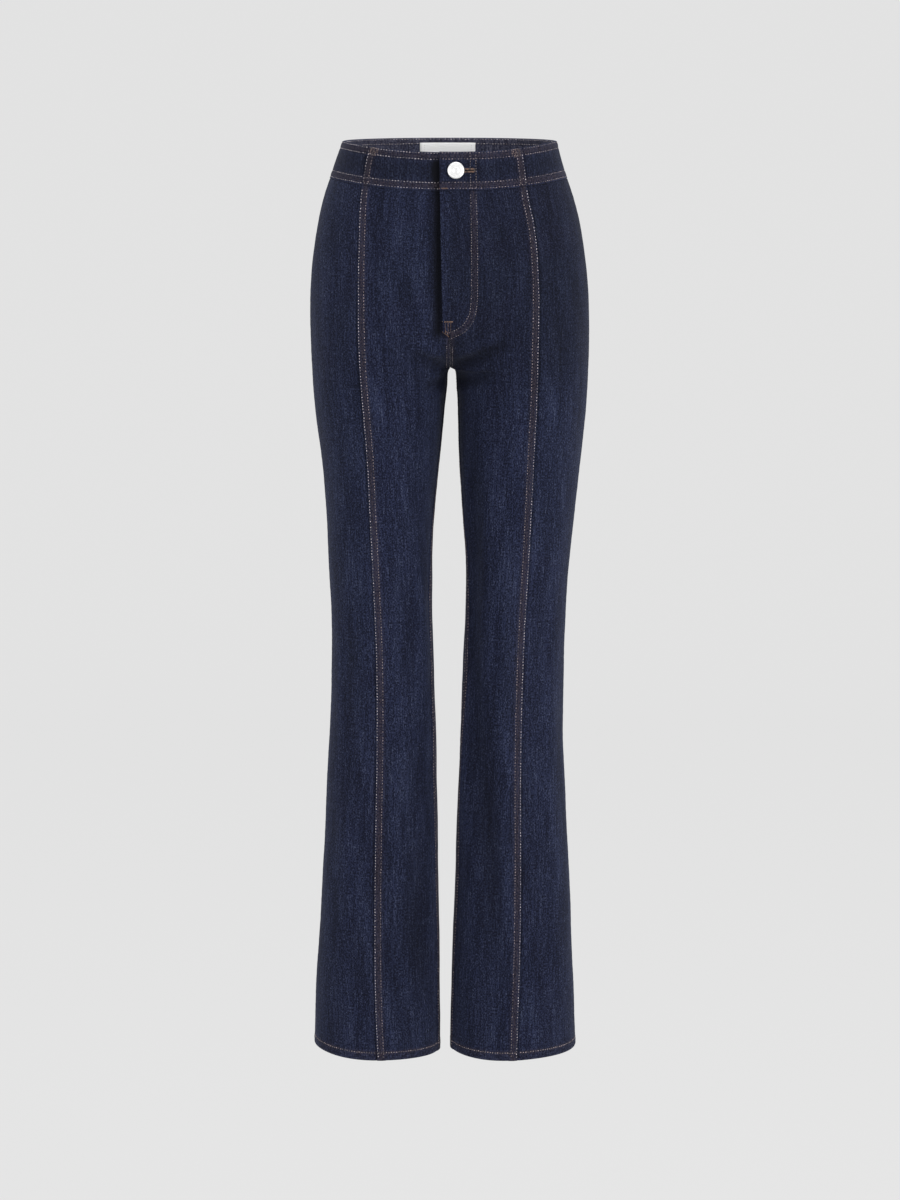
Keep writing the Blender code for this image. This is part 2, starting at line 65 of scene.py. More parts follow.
DENIM, BAND, HEM, FLY, LABEL, SEAM_GAP = 1.2, 2.4, 3.0, 2.4, 1.0, 0.3
BAND_HEIGHT = 43.0
HEM_HEIGHT = 11.0
CROTCH = -264.0
FLY_END = -218.0
HEM_LEVEL = -1095.0
CROTCH_Y = 8.0
OVERLAP = 10.5
UNDERLAP = 30.0
FLY_RISE = 1.5
BUTTON_AT = 6.6
BUTTON_LEVEL = -21.0

SECTIONS = [
    # level, out_right, out_left, front, back, side_y
    (6, 123.0, 123.0, -95.2, 95.2, 0),
    (-28, 134.8, 131.6, -99.8, 101.4, 0),
    (-60, 146.4, 143.2, -103.4, 107.4, 1),
    (-103, 157.0, 154.4, -105.8, 114.4, 2),
    (-150, 162.6, 160.6, -106.0, 119.4, 3),
    (-200, 164.5, 163.8, -103.2, 119.6, 3),
    (-244, 164.4, 164.3, -98.2, 112.2, 4),
    (-284, 162.3, 162.7, -91.0, 101.4, 4),
    (-330, 157.8, 159.6, -84.6, 91.4, 4),
    (-387, 151.6, 154.4, -78.8, 82.6, 3),
    (-440, 147.3, 148.2, -74.6, 76.4, 2),
    (-495, 144.7, 142.8, -71.0, 71.2, 2),
    (-560, 142.2, 138.5, -67.6, 66.2, 1),
    (-630, 142.2, 136.6, -65.4, 63.9, 0),
    (-715, 146.2, 137.0, -64.4, 64.8, 0),
    (-800, 150.8, 140.6, -64.5, 66.8, 0),
    (-900, 155.8, 145.8, -65.2, 67.5, 0),
    (-1000, 162.6, 150.2, -66.3, 67.1, 0),
    (-1050, 165.2, 152.6, -66.9, 67.0, 0),
    (-1100, 166.4, 154.2, -67.3, 67.0, 0),
]

INNER_LEGS = [
    # level, right, left
    (-264, 0.0, 0.0),
    (-265.4, 0.3, 3.2),
    (-266.6, 1.1, 5.0),
    (-268.6, 2.2, 6.1),
    (-273, 3.0, 6.9),
    (-284, 3.9, 8.2),
    (-303, 5.9, 9.5),
    (-327, 8.3, 10.2),
    (-351, 10.8, 11.0),
    (-387, 14.4, 12.6),
    (-423, 17.8, 14.5),
    (-459, 20.2, 16.9),
    (-495, 21.4, 18.9),
    (-540, 21.4, 19.2),
    (-616, 19.4, 17.0),
    (-665, 18.1, 15.4),
    (-715, 16.9, 12.9),
    (-764, 15.8, 10.3),
    (-840, 14.5, 7.6),
    (-914, 13.4, 5.0),
    (-1015, 12.3, 1.6),
    (-1100, 12.2, 0.2),
]

FORMS = [
    # level, hub, square, meet, soft, dip_front, rise_back
    (6, 0.0, 2.30, 900, 70, 13.8, 6.0),
    (-43, 0.0, 2.34, 900, 70, 14.6, 4.5),
    (-90, 0.0, 2.36, 900, 70, 8.6, 1.6),
    (-120, 0.03, 2.36, 700, 66, 4.4, 0.5),
    (-150, 0.11, 2.34, 420, 58, 1.4, 0.0),
    (-180, 0.23, 2.30, 210, 48, 0.0, 0.0),
    (-205, 0.345, 2.25, 108, 38, 0.0, 0.0),
    (-222, 0.412, 2.21, 60, 29, 0.0, 0.0),
    (-235, 0.453, 2.18, 34, 22, 0.0, 0.0),
    (-246, 0.479, 2.16, 18, 15, 0.0, 0.0),
    (-254, 0.491, 2.15, 9, 9, 0.0, 0.0),
    (-260, 0.497, 2.14, 3.2, 4, 0.0, 0.0),
    (-264, 0.500, 2.13, 0.0, 0.0, 0.0, 0.0),
    (-285, 0.512, 2.11, 0.0, 0.0, 0.0, 0.0),
    (-303, 0.520, 2.10, 0.0, 0.0, 0.0, 0.0),
    (-351, 0.536, 2.08, 0.0, 0.0, 0.0, 0.0),
    (-400, 0.553, 2.07, 0.0, 0.0, 0.0, 0.0),
    (-459, 0.568, 2.06, 0.0, 0.0, 0.0, 0.0),
    (-540, 0.575, 2.05, 0.0, 0.0, 0.0, 0.0),
    (-616, 0.568, 2.04, 0.0, 0.0, 0.0, 0.0),
    (-715, 0.553, 2.04, 0.0, 0.0, 0.0, 0.0),
    (-840, 0.537, 2.04, 0.0, 0.0, 0.0, 0.0),
    (-1015, 0.520, 2.04, 0.0, 0.0, 0.0, 0.0),
    (-1100, 0.518, 2.04, 0.0, 0.0, 0.0, 0.0),
]

INSEAM_FORWARD = [
    # level, forward
    (-264, 0.0),
    (-300, 0.6),
    (-345, 3.0),
    (-400, 7.6),
    (-460, 12.0),
    (-530, 14.5),
    (-620, 15.5),
    (-760, 15.5),
    (-900, 14.0),
    (-1000, 12.0),
    (-1100, 10.5),
]

FRONT_SEAMS = [
    # level, right, left
    (6, 91.5, 80.5),
    (-15, 95.2, 84.2),
    (-36, 99.2, 87.0),
    (-57, 102.0, 90.0),
    (-85, 103.8, 95.6),
    (-129, 105.2, 100.5),
    (-172, 105.6, 102.4),
    (-215, 105.6, 102.2),
    (-259, 104.4, 101.8),
    (-304, 101.6, 101.0),
    (-348, 98.2, 99.0),
    (-397, 95.7, 97.0),
    (-447, 93.7, 94.9),
    (-497, 91.5, 92.6),
    (-547, 89.4, 89.6),
    (-599, 87.7, 87.3),
    (-653, 87.2, 85.8),
    (-704, 87.5, 85.0),
    (-803, 89.6, 84.9),
    (-902, 90.8, 85.2),
    (-994, 90.8, 84.0),
    (-1069, 88.9, 81.8),
    (-1100, 87.4, 81.2),
]

HEM_RISE = {"right": 4.0, "left": 1.5}
HEM_TURN = {"right": -4.0, "left": 3.0}  # and its lowest place lies off its middle
LABEL_REACH = {"right": 36.6, "left": 30.8}  # from the centre back
SIDES = {"right": -1, "left": 1}


def spline(table, column):
    """A table column as a natural cubic spline over the level."""
    x, y = np.array(sorted((row[0], row[column]) for row in table), float).T
    h = np.diff(x)
    m = np.zeros((len(x), len(x)))
    m[0, 0] = m[-1, -1] = 1
    r = np.zeros(len(x))
    for i in range(1, len(x) - 1):
        m[i, i - 1 : i + 2] = h[i - 1], 2 * (h[i - 1] + h[i]), h[i]
        r[i] = 6 * ((y[i + 1] - y[i]) / h[i] - (y[i] - y[i - 1]) / h[i - 1])
    bend = np.linalg.solve(m, r)

    def value(level):
        level = min(max(level, x[0]), x[-1])
        i = min(max(int(np.searchsorted(x, level)) - 1, 0), len(x) - 2)
        a, b = (x[i + 1] - level) / h[i], (level - x[i]) / h[i]
        return float(
            a * y[i] + b * y[i + 1]
            + ((a**3 - a) * bend[i] + (b**3 - b) * bend[i + 1]) * h[i] ** 2 / 6
        )

    return value


def steady(table, column):
    """A table column as a smooth curve over the level that never swings past its rows."""
    x, y = np.array(sorted((row[0], row[column]) for row in table), float).T
    h = np.diff(x)
    rise = np.diff(y) / h
    slope = np.concatenate([[rise[0]], np.zeros(len(x) - 2), [rise[-1]]])
    for k in range(1, len(x) - 1):
        if rise[k - 1] * rise[k] > 0:
            w1, w2 = 2 * h[k] + h[k - 1], h[k] + 2 * h[k - 1]
            slope[k] = (w1 + w2) / (w1 / rise[k - 1] + w2 / rise[k])

    def value(level):
        level = min(max(level, x[0]), x[-1])
        i = min(max(int(np.searchsorted(x, level)) - 1, 0), len(x) - 2)
        t = (level - x[i]) / h[i]
        return float(
            (2 * t**3 - 3 * t**2 + 1) * y[i] + (t**3 - 2 * t**2 + t) * h[i] * slope[i]
            + (3 * t**2 - 2 * t**3) * y[i + 1] + (t**3 - t**2) * h[i] * slope[i + 1]
        )

    return value


OUT = {"right": spline(SECTIONS, 1), "left": spline(SECTIONS, 2)}
FRONT, BACK, SIDE_Y = (spline(SECTIONS, column) for column in (3, 4, 5))
INNER = {"right": steady(INNER_LEGS, 1), "left": steady(INNER_LEGS, 2)}
HUB, SQUARE, MEET, SOFT, DIP, RISE = (steady(FORMS, column) for column in range(1, 7))
SEAM_X = {"right": spline(FRONT_SEAMS, 1), "left": spline(FRONT_SEAMS, 2)}
FORWARD = steady(INSEAM_FORWARD, 1)


def ease(t):
    t = np.clip(t, 0.0, 1.0)
    return t * t * (3 - 2 * t)


def section(side, level, count=220):
    """The section of one side at a level, from the centre front (or inner leg) round by the side
    seam to the centre back (or inner leg): points, their arc lengths, and the side seam's arc."""
    out, inner = OUT[side](level), INNER[side](level) if level < CROTCH else 0.0
    front, back, side_y = FRONT(level), BACK(level), SIDE_Y(level)
    meet, soft = MEET(level), SOFT(level)
    seam_y = CROTCH_Y * (1 - 0.8 * float(ease((CROTCH - level) / 400)))
    hub = out * HUB(level)
    s = np.linspace(0, 1, count)
    across = (hub - inner) * (1 - np.cos(s * math.pi / 2))
    width = max(hub - inner, 1e-6)
    eased = np.hypot(across, soft) * width / math.hypot(width, soft)
    up = np.sqrt(np.maximum(1 - ((width - eased) / (width + meet)) ** 2, 0))
    up /= max(up[-1], 1e-9)
    turn = s * math.pi / 2
    reach, fall = np.sin(turn) ** (2 / SQUARE(level)), np.cos(turn) ** (2 / SQUARE(level))
    parts = [
        (inner + across, seam_y + (front - seam_y) * up),
        (hub + (out - hub) * reach, side_y + (front - side_y) * fall),
        (hub + (out - hub) * reach[::-1], side_y + (back - side_y) * fall[::-1]),
        (inner + across[::-1], seam_y + (back - seam_y) * up[::-1]),
    ]
    u = np.concatenate([p[0] for p in parts])
    y = np.concatenate([p[1] for p in parts])
    keep = np.ones(len(u), bool)
    keep[1:] = np.hypot(np.diff(u), np.diff(y)) > 1e-6
    side_index = int(keep[: 2 * count].sum()) - 1
    u, y = u[keep], y[keep]
    share = np.where(y < side_y, (side_y - y) / (side_y - front), (y - side_y) / (back - side_y))
    share = np.maximum(share, 0)
    lift = np.where(y < side_y, -DIP(level) * share**2.2, RISE(level) * share)
    if level < -980:
        t = np.clip((u - hub) / (out - hub), -1, 1)
        turned = HEM_TURN[side] * t * (1 - t * t) * np.clip((side_y - y) / (side_y - front), 0, 1)
        lift = lift + (HEM_RISE[side] * t + turned) * ease((-980 - level) / 115)
    arc = np.concatenate([[0], np.cumsum(np.hypot(np.diff(u), np.diff(y)))])
    points = np.stack([SIDES[side] * u, y, level + lift], 1)
    return points, arc, arc[side_index]


def at(sec, arcs):
    """The points at these arcs. Past its end a leg's section goes on from its start, and the
    other way round."""
    points, arc, _ = sec
    arcs = np.asarray(arcs, float)
    arcs = np.where(arcs > arc[-1] + 1e-9, arcs - arc[-1], arcs)
    return np.stack([np.interp(arcs, arc, points[:, k]) for k in range(3)], 1)


def arc_of(sec, distances, behind=False):
    """The arcs of points at these distances from the middle plane, on the front or the back."""
    points, arc, side_arc = sec
    half = arc >= side_arc if behind else arc <= side_arc
    u, a = np.abs(points[half, 0]), arc[half]
    order = np.argsort(u, kind="stable")
    return np.interp(distances, u[order], a[order])


# ---------------------------------------------------------------- grids

STEP = 3.4

# columns from a seam's line inwards: with two rows of stitching, and without
STITCHED = [0, 0.3, 0.7, 1.1, 1.6, 2.3, 3.3, 4.9, 6.6, 7.7, 8.4, 9.1, 10.1, 11.5, 13.4]
PLAIN = [0, 0.4, 1.0, 1.9, 3.2, 5.5]
ROWS_AT = (1.6, 8.4)  # the rows of stitching beside a seam's line


def even(first, last, step):
    n = max(int(round(abs(last - first) / step)), 1)
    return list(np.linspace(first, last, n + 1)[1:])


def body_levels():
    """Levels of the body's rows. They close up where the form turns under, so that the centre
    front and back lines have no long steps."""
    top = -BAND_HEIGHT - SEAM_GAP / 2
    levels = [top - d for d in (0, 0.5, 1.2, 2.4, 4.2)]
    levels += even(levels[-1], FLY_END + 18, STEP)
    dense = np.linspace(FLY_END + 18, CROTCH, 1500)
    centre = []
    for level in dense:
        points = section("left", level, 40)[0]
        centre.append((points[0, 1], points[-1, 1]))
    centre = np.array(centre)
    step = np.hypot(np.diff(dense), np.abs(np.diff(centre, axis=0)).max(1))
    run = np.concatenate([[0], np.cumsum(step)])
    n = int(round(run[-1] / (STEP * 1.1)))
    levels += list(np.interp(np.linspace(0, run[-1], n + 1)[1:], run, dense))
    levels[-1] = CROTCH
    levels += [CROTCH - d for d in (0.7, 1.6, 2.8, 4.4, 6.4, 8.8, 11.6, 14.8)]
    levels += even(levels[-1], HEM_LEVEL + 14.5, STEP)
    levels += [HEM_LEVEL + d for d in (13, 12, 11.3, 10.7, 10, 9.3, 8.2, 6.4, 4.6, 3.2, 2.2, 1.45, 0.85, 0.4, 0.1, 0)]
    return np.array(levels)


def row_columns(side, level, near, near_back, middle, back_near=STITCHED):
    """Arcs of one row's columns and the column numbers of its seams. near and near_back are the
    columns from the centre (or inner leg) lines, and middle how many lie between those of a panel."""
    sec = section(side, level)
    side_arc, total = sec[2], sec[1][-1]
    forward = FORWARD(level) if level < CROTCH else 0.0
    seam_arc = float(arc_of(sec, [SEAM_X[side](level)])[0])
    cols = [forward + d for d in near]
    first = cols[-1]
    last = seam_arc - STITCHED[-1]
    cols += list(np.linspace(first, last, middle[0] + 1)[1:])
    cols += [seam_arc - d for d in STITCHED[::-1][1:]]
    c1 = len(cols) - 1
    cols += [seam_arc + d for d in PLAIN[1:]]
    cols += list(np.linspace(seam_arc + PLAIN[-1], side_arc - PLAIN[-1], middle[1] + 1)[1:])
    cols += [side_arc - d for d in PLAIN[::-1][1:]]
    c2 = len(cols) - 1
    cols += [side_arc + d for d in PLAIN[1:]]
    end = total + forward
    cols += list(np.linspace(side_arc + PLAIN[-1], end - near_back[-1], middle[2] + 1)[1:])
    cols += [end - d for d in near_back[::-1][1:]]
    c3 = len(cols) - 1
    return sec, np.array(cols), (0, c1, c2, c3)


def crotch_share(level):
    """1 where the columns may not be measured from the centre line, beside the crotch's level."""
    return float(ease((FLY_END - 4 - level) / (FLY_END - 4 - CROTCH)))


def grid(side, levels, near, near_back, middle):
    points, arcs, seams = [], [], None
    for level in levels:
        sec, cols, seams = row_columns(side, level, near, near_back, middle)
        if FLY_END > level >= CROTCH:
            # towards the crotch the level line runs along the centre seam before it turns away, so
            # the columns there go by their distance from the middle plane
            k = 1 - abs(2 * crotch_share(level) - 1) * 0
            flat = np.array(cols)
            c1, c2, c3 = seams[1:]
            seam_x = SEAM_X[side](level)
            share = (cols[: c1 + 1] - cols[0]) / (cols[c1] - cols[0])
            # the columns' places on a row a little higher, kept as distances from the middle plane
            top = row_columns(side, FLY_END, near, near_back, middle)
            u_front = np.abs(at(top[0], top[1][: c1 + 1])[:, 0])
            u_front = u_front * seam_x / u_front[-1]
            by_u = arc_of(sec, u_front)
            by_u[0] = 0
            u_back = np.abs(at(top[0], top[1][c2:])[:, 0])
            order_back = arc_of(sec, u_back, True)
            order_back[-1] = sec[1][-1]
            m = 1 - crotch_share(level)
            flat[: c1 + 1] = m * by_u + (1 - m) * cols[: c1 + 1]
            blend_back = m * order_back + (1 - m) * cols[c2:]
            blend_back[0] = cols[c2]
            flat[c2:] = blend_back
            cols = flat
        points.append(at(sec, cols))
        arcs.append(cols)
    return np.array(points), np.array(arcs), seams


def whole_normals(grids, levels):
    """Outward directions on both sides' grids. The columns beyond the first and last are the
    other side's above the crotch, and the leg's own below it."""
    out = {}
    for side, other in (("right", "left"), ("left", "right")):
        g, o = grids[side], grids[other]
        pad = np.zeros((g.shape[0], g.shape[1] + 2, 3))
        pad[:, 1:-1] = g
        above = np.array(levels) >= CROTCH - 1e-6
        pad[above, 0], pad[above, -1] = o[above, 1], o[above, -2]
        pad[~above, 0], pad[~above, -1] = g[~above, -2], g[~above, 1]
        across = pad[:, 2:] - pad[:, :-2]
        down = np.empty_like(g)
        down[1:-1] = g[2:] - g[:-2]
        down[0], down[-1] = g[1] - g[0], g[-1] - g[-2]
        n = np.cross(across, down) * -SIDES[side]
        length = np.linalg.norm(n, axis=2, keepdims=True)
        n = n / np.maximum(length, 1e-9)
        out[side] = n
    return out


# ---------------------------------------------------------------- creases

# Each crease is a line on the front or back at a height over the cloth: troughs are below 0.
# across is the distance from the middle plane, positive on the wearer's left.
CREASES = [
    # where, height, half width, [(across, level), ...]
    # the long trough down the wearer's left leg and the crest beside its seam
    ("front", -3.4, 15, [(16, -296), (24, -350), (29, -410), (30, -480), (28, -560), (29, -640), (34, -720), (41, -800), (47, -880), (50, -950), (53, -1010)]),
    ("front", 2.4, 12, [(72, -430), (74, -540), (72, -640), (70, -740), (71, -840), (70, -940)]),
    ("front", 1.6, 10, [(17, -560), (16, -660), (15, -760), (14, -850)]),
    # the wearer's right leg
    ("front", -2.4, 12, [(-77, -690), (-79, -760), (-81, -830), (-79, -890)]),
    ("front", 2.8, 11, [(-50, -700), (-56, -750), (-64, -800), (-69, -850)]),
    ("front", -2.2, 15, [(-34, -800), (-40, -860), (-38, -930), (-30, -1000), (-27, -1040)]),
    ("front", -1.6, 16, [(-60, -470), (-52, -540), (-50, -600), (-54, -660)]),
    ("front", 1.8, 12, [(-36, -500), (-30, -580), (-29, -660)]),
    ("front", -1.5, 11, [(-120, -560), (-122, -640), (-118, -720)]),
    ("front", 1.6, 12, [(-128, -780), (-124, -860), (-126, -940)]),
    # from the crotch outwards
    ("front", -3.1, 8, [(6, -262), (20, -254), (40, -244), (58, -234), (70, -228)]),
    ("front", 1.7, 7, [(8, -247), (24, -240), (44, -229), (60, -219)]),
    ("front", -3.2, 7, [(4, -278), (18, -280), (34, -274), (50, -264)]),
    ("front", -2.5, 8, [(-6, -262), (-18, -256), (-34, -248), (-48, -240)]),
    ("front", 1.3, 7, [(-8, -247), (-24, -240), (-40, -231)]),
    ("front", -3.0, 7, [(-6, -280), (-16, -284), (-30, -282)]),
    ("front", -1.8, 7, [(-74, -206), (-84, -214), (-94, -222)]),
    ("front", 1.1, 6, [(-72, -216), (-82, -225), (-92, -234)]),
    ("front", -1.4, 8, [(-38, -222), (-50, -232), (-58, -240)]),
    # over the hips
    ("front", -1.0, 14, [(-120, -150), (-128, -210), (-128, -270)]),
    ("front", -1.1, 14, [(124, -190), (132, -240), (128, -300)]),
    ("front", 0.9, 14, [(70, -130), (78, -180), (80, -230)]),
    ("front", -0.9, 12, [(52, -90), (58, -140), (56, -190)]),
    ("front", -0.9, 12, [(-50, -100), (-46, -150), (-52, -200)]),
    # outer legs
    ("front", -1.5, 12, [(112, -470), (108, -560), (106, -640), (110, -720)]),
    ("front", 1.3, 12, [(122, -640), (120, -740), (124, -840)]),
    ("front", -1.3, 12, [(104, -860), (110, -930), (116, -1000)]),
    ("front", -1.4, 12, [(-118, -900), (-112, -970), (-108, -1040)]),
    # the backs: under the seat, behind the knees and down the calves
    ("back", -3.2, 12, [(10, -262), (40, -282), (76, -292), (112, -284)]),
    ("back", -3.4, 12, [(-10, -262), (-36, -278), (-70, -292), (-108, -290)]),
    ("back", 2.0, 12, [(26, -312), (60, -324), (96, -318)]),
    ("back", 1.8, 12, [(-22, -306), (-54, -322), (-90, -324)]),
    ("back", -2.2, 13, [(20, -345), (52, -362), (88, -358)]),
    ("back", -2.0, 13, [(-18, -340), (-48, -354), (-84, -360)]),
    ("back", -2.6, 14, [(34, -560), (62, -580), (96, -572), (120, -556)]),
    ("back", -2.8, 14, [(-36, -584), (-66, -596), (-100, -584), (-124, -566)]),
    ("back", 1.8, 13, [(34, -606), (66, -618), (104, -606)]),
    ("back", 1.8, 13, [(-40, -552), (-72, -560), (-106, -546)]),
    ("back", -2.2, 13, [(36, -644), (70, -652), (102, -640)]),
    ("back", -2.0, 13, [(-36, -636), (-66, -650), (-98, -646)]),
    ("back", -2.2, 15, [(60, -700), (54, -800), (60, -900), (64, -1000)]),
    ("back", -2.2, 15, [(-70, -720), (-62, -810), (-68, -920), (-74, -1010)]),
    ("back", 1.6, 14, [(96, -720), (92, -830), (98, -940)]),
    ("back", 1.6, 14, [(-104, -700), (-110, -810), (-108, -930)]),
    ("back", -1.2, 16, [(60, -90), (66, -150), (58, -210)]),
    ("back", -1.2, 16, [(-64, -100), (-60, -150), (-66, -204)]),
]


def lay_creases(grids, levels):
    """Heights of all creases over every grid point."""
    heights = {}
    lines = []
    for where, height, half, way in CREASES:
        way = np.array(way, float)
        # a smooth line through the places, lifted on to the cloth
        t = np.concatenate([[0], np.cumsum(np.hypot(*np.diff(way, axis=0).T))])
        n = max(int(t[-1] / 6), 6)
        tt = np.linspace(0, t[-1], n)
        xs, zs = np.interp(tt, t, way[:, 0]), np.interp(tt, t, way[:, 1])
        for _ in range(4):
            xs[1:-1] = (xs[:-2] + 2 * xs[1:-1] + xs[2:]) / 4
            zs[1:-1] = (zs[:-2] + 2 * zs[1:-1] + zs[2:]) / 4
        pts = []
        for x, z in zip(xs, zs):
            side = "left" if x >= 0 else "right"
            sec = section(side, z, 60)
            pts.append(at(sec, arc_of(sec, [abs(x)], where == "back"))[0])
        lines.append((height, half, np.array(pts), tt / t[-1]))
    for side in SIDES:
        g = grids[side]
        p = g.reshape(-1, 3)
        total = np.zeros(len(p))
        for height, half, pts, share in lines:
            lo, hi = pts.min(0) - 3.2 * half, pts.max(0) + 3.2 * half
            near = np.all((p > lo) & (p < hi), axis=1)
            if not near.any():
                continue
            q = p[near]
            best = np.full(len(q), 1e9)
            along = np.zeros(len(q))
            for k in range(len(pts) - 1):
                a, b = pts[k], pts[k + 1]
                ab = b - a
                t = np.clip((q - a) @ ab / max(ab @ ab, 1e-9), 0, 1)
                d = np.linalg.norm(q - a - t[:, None] * ab, axis=1)
                closer = d < best
                best[closer] = d[closer]
                along[closer] = (share[k] + t * (share[k + 1] - share[k]))[closer]
            taper = ease(along / 0.22) * ease((1 - along) / 0.22)
            beside = -0.28 * np.exp(-(((best - 1.75 * half) / (0.7 * half)) ** 2))
            total[near] += height * taper * (np.exp(-((best / half) ** 2)) + beside)
        heights[side] = total.reshape(g.shape[:2])
    return heights


def ripples(p):
    """Small unevenness all over: the cloth is never quite smooth."""
    x, y, z = p[..., 0], p[..., 1], p[..., 2]
    a = np.sin(x * 0.061 + 1.7 * np.sin(z * 0.013 + 0.4)) * np.sin(z * 0.031 + 0.021 * y + 1.1)
    b = np.sin(x * 0.137 + 0.9 * np.sin(z * 0.021) + 2.0) * np.sin(z * 0.047 + 0.053 * y + 0.7)
    c = np.sin(x * 0.29 + y * 0.17 + 1.3 * np.sin(z * 0.06)) * np.sin(z * 0.118 + y * 0.09 + 0.2)
    return 0.42 * a + 0.26 * b + 0.1 * c


def pucker(p, run, phase):
    """Short uneven ripples along a seam, as run goes along it in mm."""
    return (
        0.6 * np.sin(run * 2 * math.pi / 9.7 + phase + 1.3 * np.sin(run * 0.043))
        + 0.4 * np.sin(run * 2 * math.pi / 14.3 + 2 * phase + 0.8 * np.sin(run * 0.071))
    )


# ---------------------------------------------------------------- seams and edges

def bump(t, centre, half):
    return np.exp(-(((t - centre) / half) ** 2))


def lapped(t, run, phase=0.0, height=0.95):
    """A lapped seam's upper cloth, by the distance in from its edge: raised over the turned-in
    cloth, drawn down along both rows of stitching, a little uneven, and rounded at its edge."""
    raised = height * (1 - ease((t - 8.9) / 3.2))
    rows = -0.34 * bump(t, ROWS_AT[0], 0.7) - 0.36 * bump(t, ROWS_AT[1], 0.75)
    between = 0.17 * bump(t, 5.0, 2.4) * (1 + pucker(None, run, phase))
    between = between + 0.15 * bump(t, 0.6, 1.2) * pucker(None, run + 4, phase + 1)
    after = -0.18 * bump(t, 12.2, 2.2)
    return raised + rows + between + after


def lapped_side(t, run, phase=0.0):
    """The lower cloth beside that seam's edge."""
    return -0.45 * bump(t, 0, 1.7) + 0.16 * bump(t, 3.6, 2.4) * (1 + pucker(None, run, phase))


def plain_side(t, run, phase=0.0):
    """Either cloth beside a plain seam."""
    return -0.42 * bump(t, 0, 1.1) + 0.18 * bump(t, 3.0, 2.0) + 0.1 * bump(t, 4.5, 4.0) * pucker(None, run, phase)


def rounding(distance, radius):
    """How far a surface turns in at an edge with this radius."""
    d = np.clip(distance, 0, radius)
    return radius - np.sqrt(np.maximum(radius**2 - (radius - d) ** 2, 0))


# ---------------------------------------------------------------- meshes

made = {}


def shell(name, outer, inner, uv, tone, tone_inner, materials, flip, skip=None, uv_inner=None):
    """A closed wall between two grids of points in mm, with cloth coordinates in metres and the
    cloth's tone at every point. Cells where skip is true are left open."""
    n, m = outer.shape[:2]
    cells = np.ones((n - 1, m - 1), bool)
    if skip is not None:
        cells &= ~skip
    used = np.zeros((n, m), bool)
    for a in (0, 1):
        for b in (0, 1):
            used[a : n - 1 + a, b : m - 1 + b] |= cells
    index = np.full((n, m), -1)
    index[used] = np.arange(used.sum())
    count = int(used.sum())
    ci, cj = np.nonzero(cells)
    a, b, c, d = index[ci, cj], index[ci, cj + 1], index[ci + 1, cj + 1], index[ci + 1, cj]
    front = np.stack([a, b, c, d], 1)
    back = np.stack([a, d, c, b], 1) + count
    rims = []
    pad = np.zeros((n + 1, m + 1), bool)
    pad[1:-1, 1:-1] = cells
    for di, dj, p, q in ((-1, 0, b, a), (0, 1, c, b), (1, 0, d, c), (0, -1, a, d)):
        free = ~pad[ci + 1 + di, cj + 1 + dj]
        rims.append(np.stack([p[free], q[free], q[free] + count, p[free] + count], 1))
    rims = np.concatenate(rims)
    faces = np.concatenate([front, back, rims])
    if flip:
        faces = faces[:, ::-1]
    points = np.concatenate([outer[used], inner[used]]) * MM
    mesh = bpy.data.meshes.new(name)
    mesh.vertices.add(len(points))
    mesh.vertices.foreach_set("co", points.ravel())
    mesh.loops.add(faces.size)
    mesh.loops.foreach_set("vertex_index", np.ascontiguousarray(faces).ravel())
    mesh.polygons.add(len(faces))
    mesh.polygons.foreach_set("loop_start", np.arange(len(faces)) * 4)
    mesh.polygons.foreach_set("loop_total", np.full(len(faces), 4))
    for material in materials:
        mesh.materials.append(material)
    which = np.zeros(len(faces), int)
    if len(materials) > 1:
        which[len(front) : len(front) + len(back)] = 1
    mesh.polygons.foreach_set("material_index", which)
    mesh.polygons.foreach_set("use_smooth", np.ones(len(faces), bool))
    uv_inner = uv if uv_inner is None else uv_inner
    flat_uv = np.concatenate([uv[used], uv_inner[used] + [0.0008, 0.0]])
    layer = mesh.uv_layers.new(name="cloth")
    layer.data.foreach_set("uv", flat_uv[np.ascontiguousarray(faces).ravel()].ravel())
    colour = mesh.attributes.new("tone", "FLOAT_COLOR", "POINT")
    tones = np.concatenate([tone[used], tone_inner[used]])
    colour.data.foreach_set("color", np.concatenate([tones, np.ones((len(tones), 1))], 1).ravel())
    mesh.update()
    mesh.validate()
    return add(name, mesh)


def add(name, mesh):
    ob = bpy.data.objects.new(name, mesh)
    bpy.context.scene.collection.objects.link(ob)
    made[name] = ob
    return ob


def from_lists(name, points, faces, material, smooth=True):
    mesh = bpy.data.meshes.new(name)
    mesh.from_pydata([tuple(p) for p in np.asarray(points) * MM], [], faces)
    mesh.materials.append(material)
    if smooth:
        mesh.polygons.foreach_set("use_smooth", np.ones(len(mesh.polygons), bool))
    mesh.update()
    return add(name, mesh)


# ---------------------------------------------------------------- materials

def new_material(name):
    mat = bpy.data.materials.new(name)
    mat.use_nodes = True
    tree = mat.node_tree
    for node in list(tree.nodes):
        tree.nodes.remove(node)
    out = tree.nodes.new("ShaderNodeOutputMaterial")
    shader = tree.nodes.new("ShaderNodeBsdfPrincipled")
    tree.links.new(shader.outputs[0], out.inputs[0])
    return mat, tree, shader


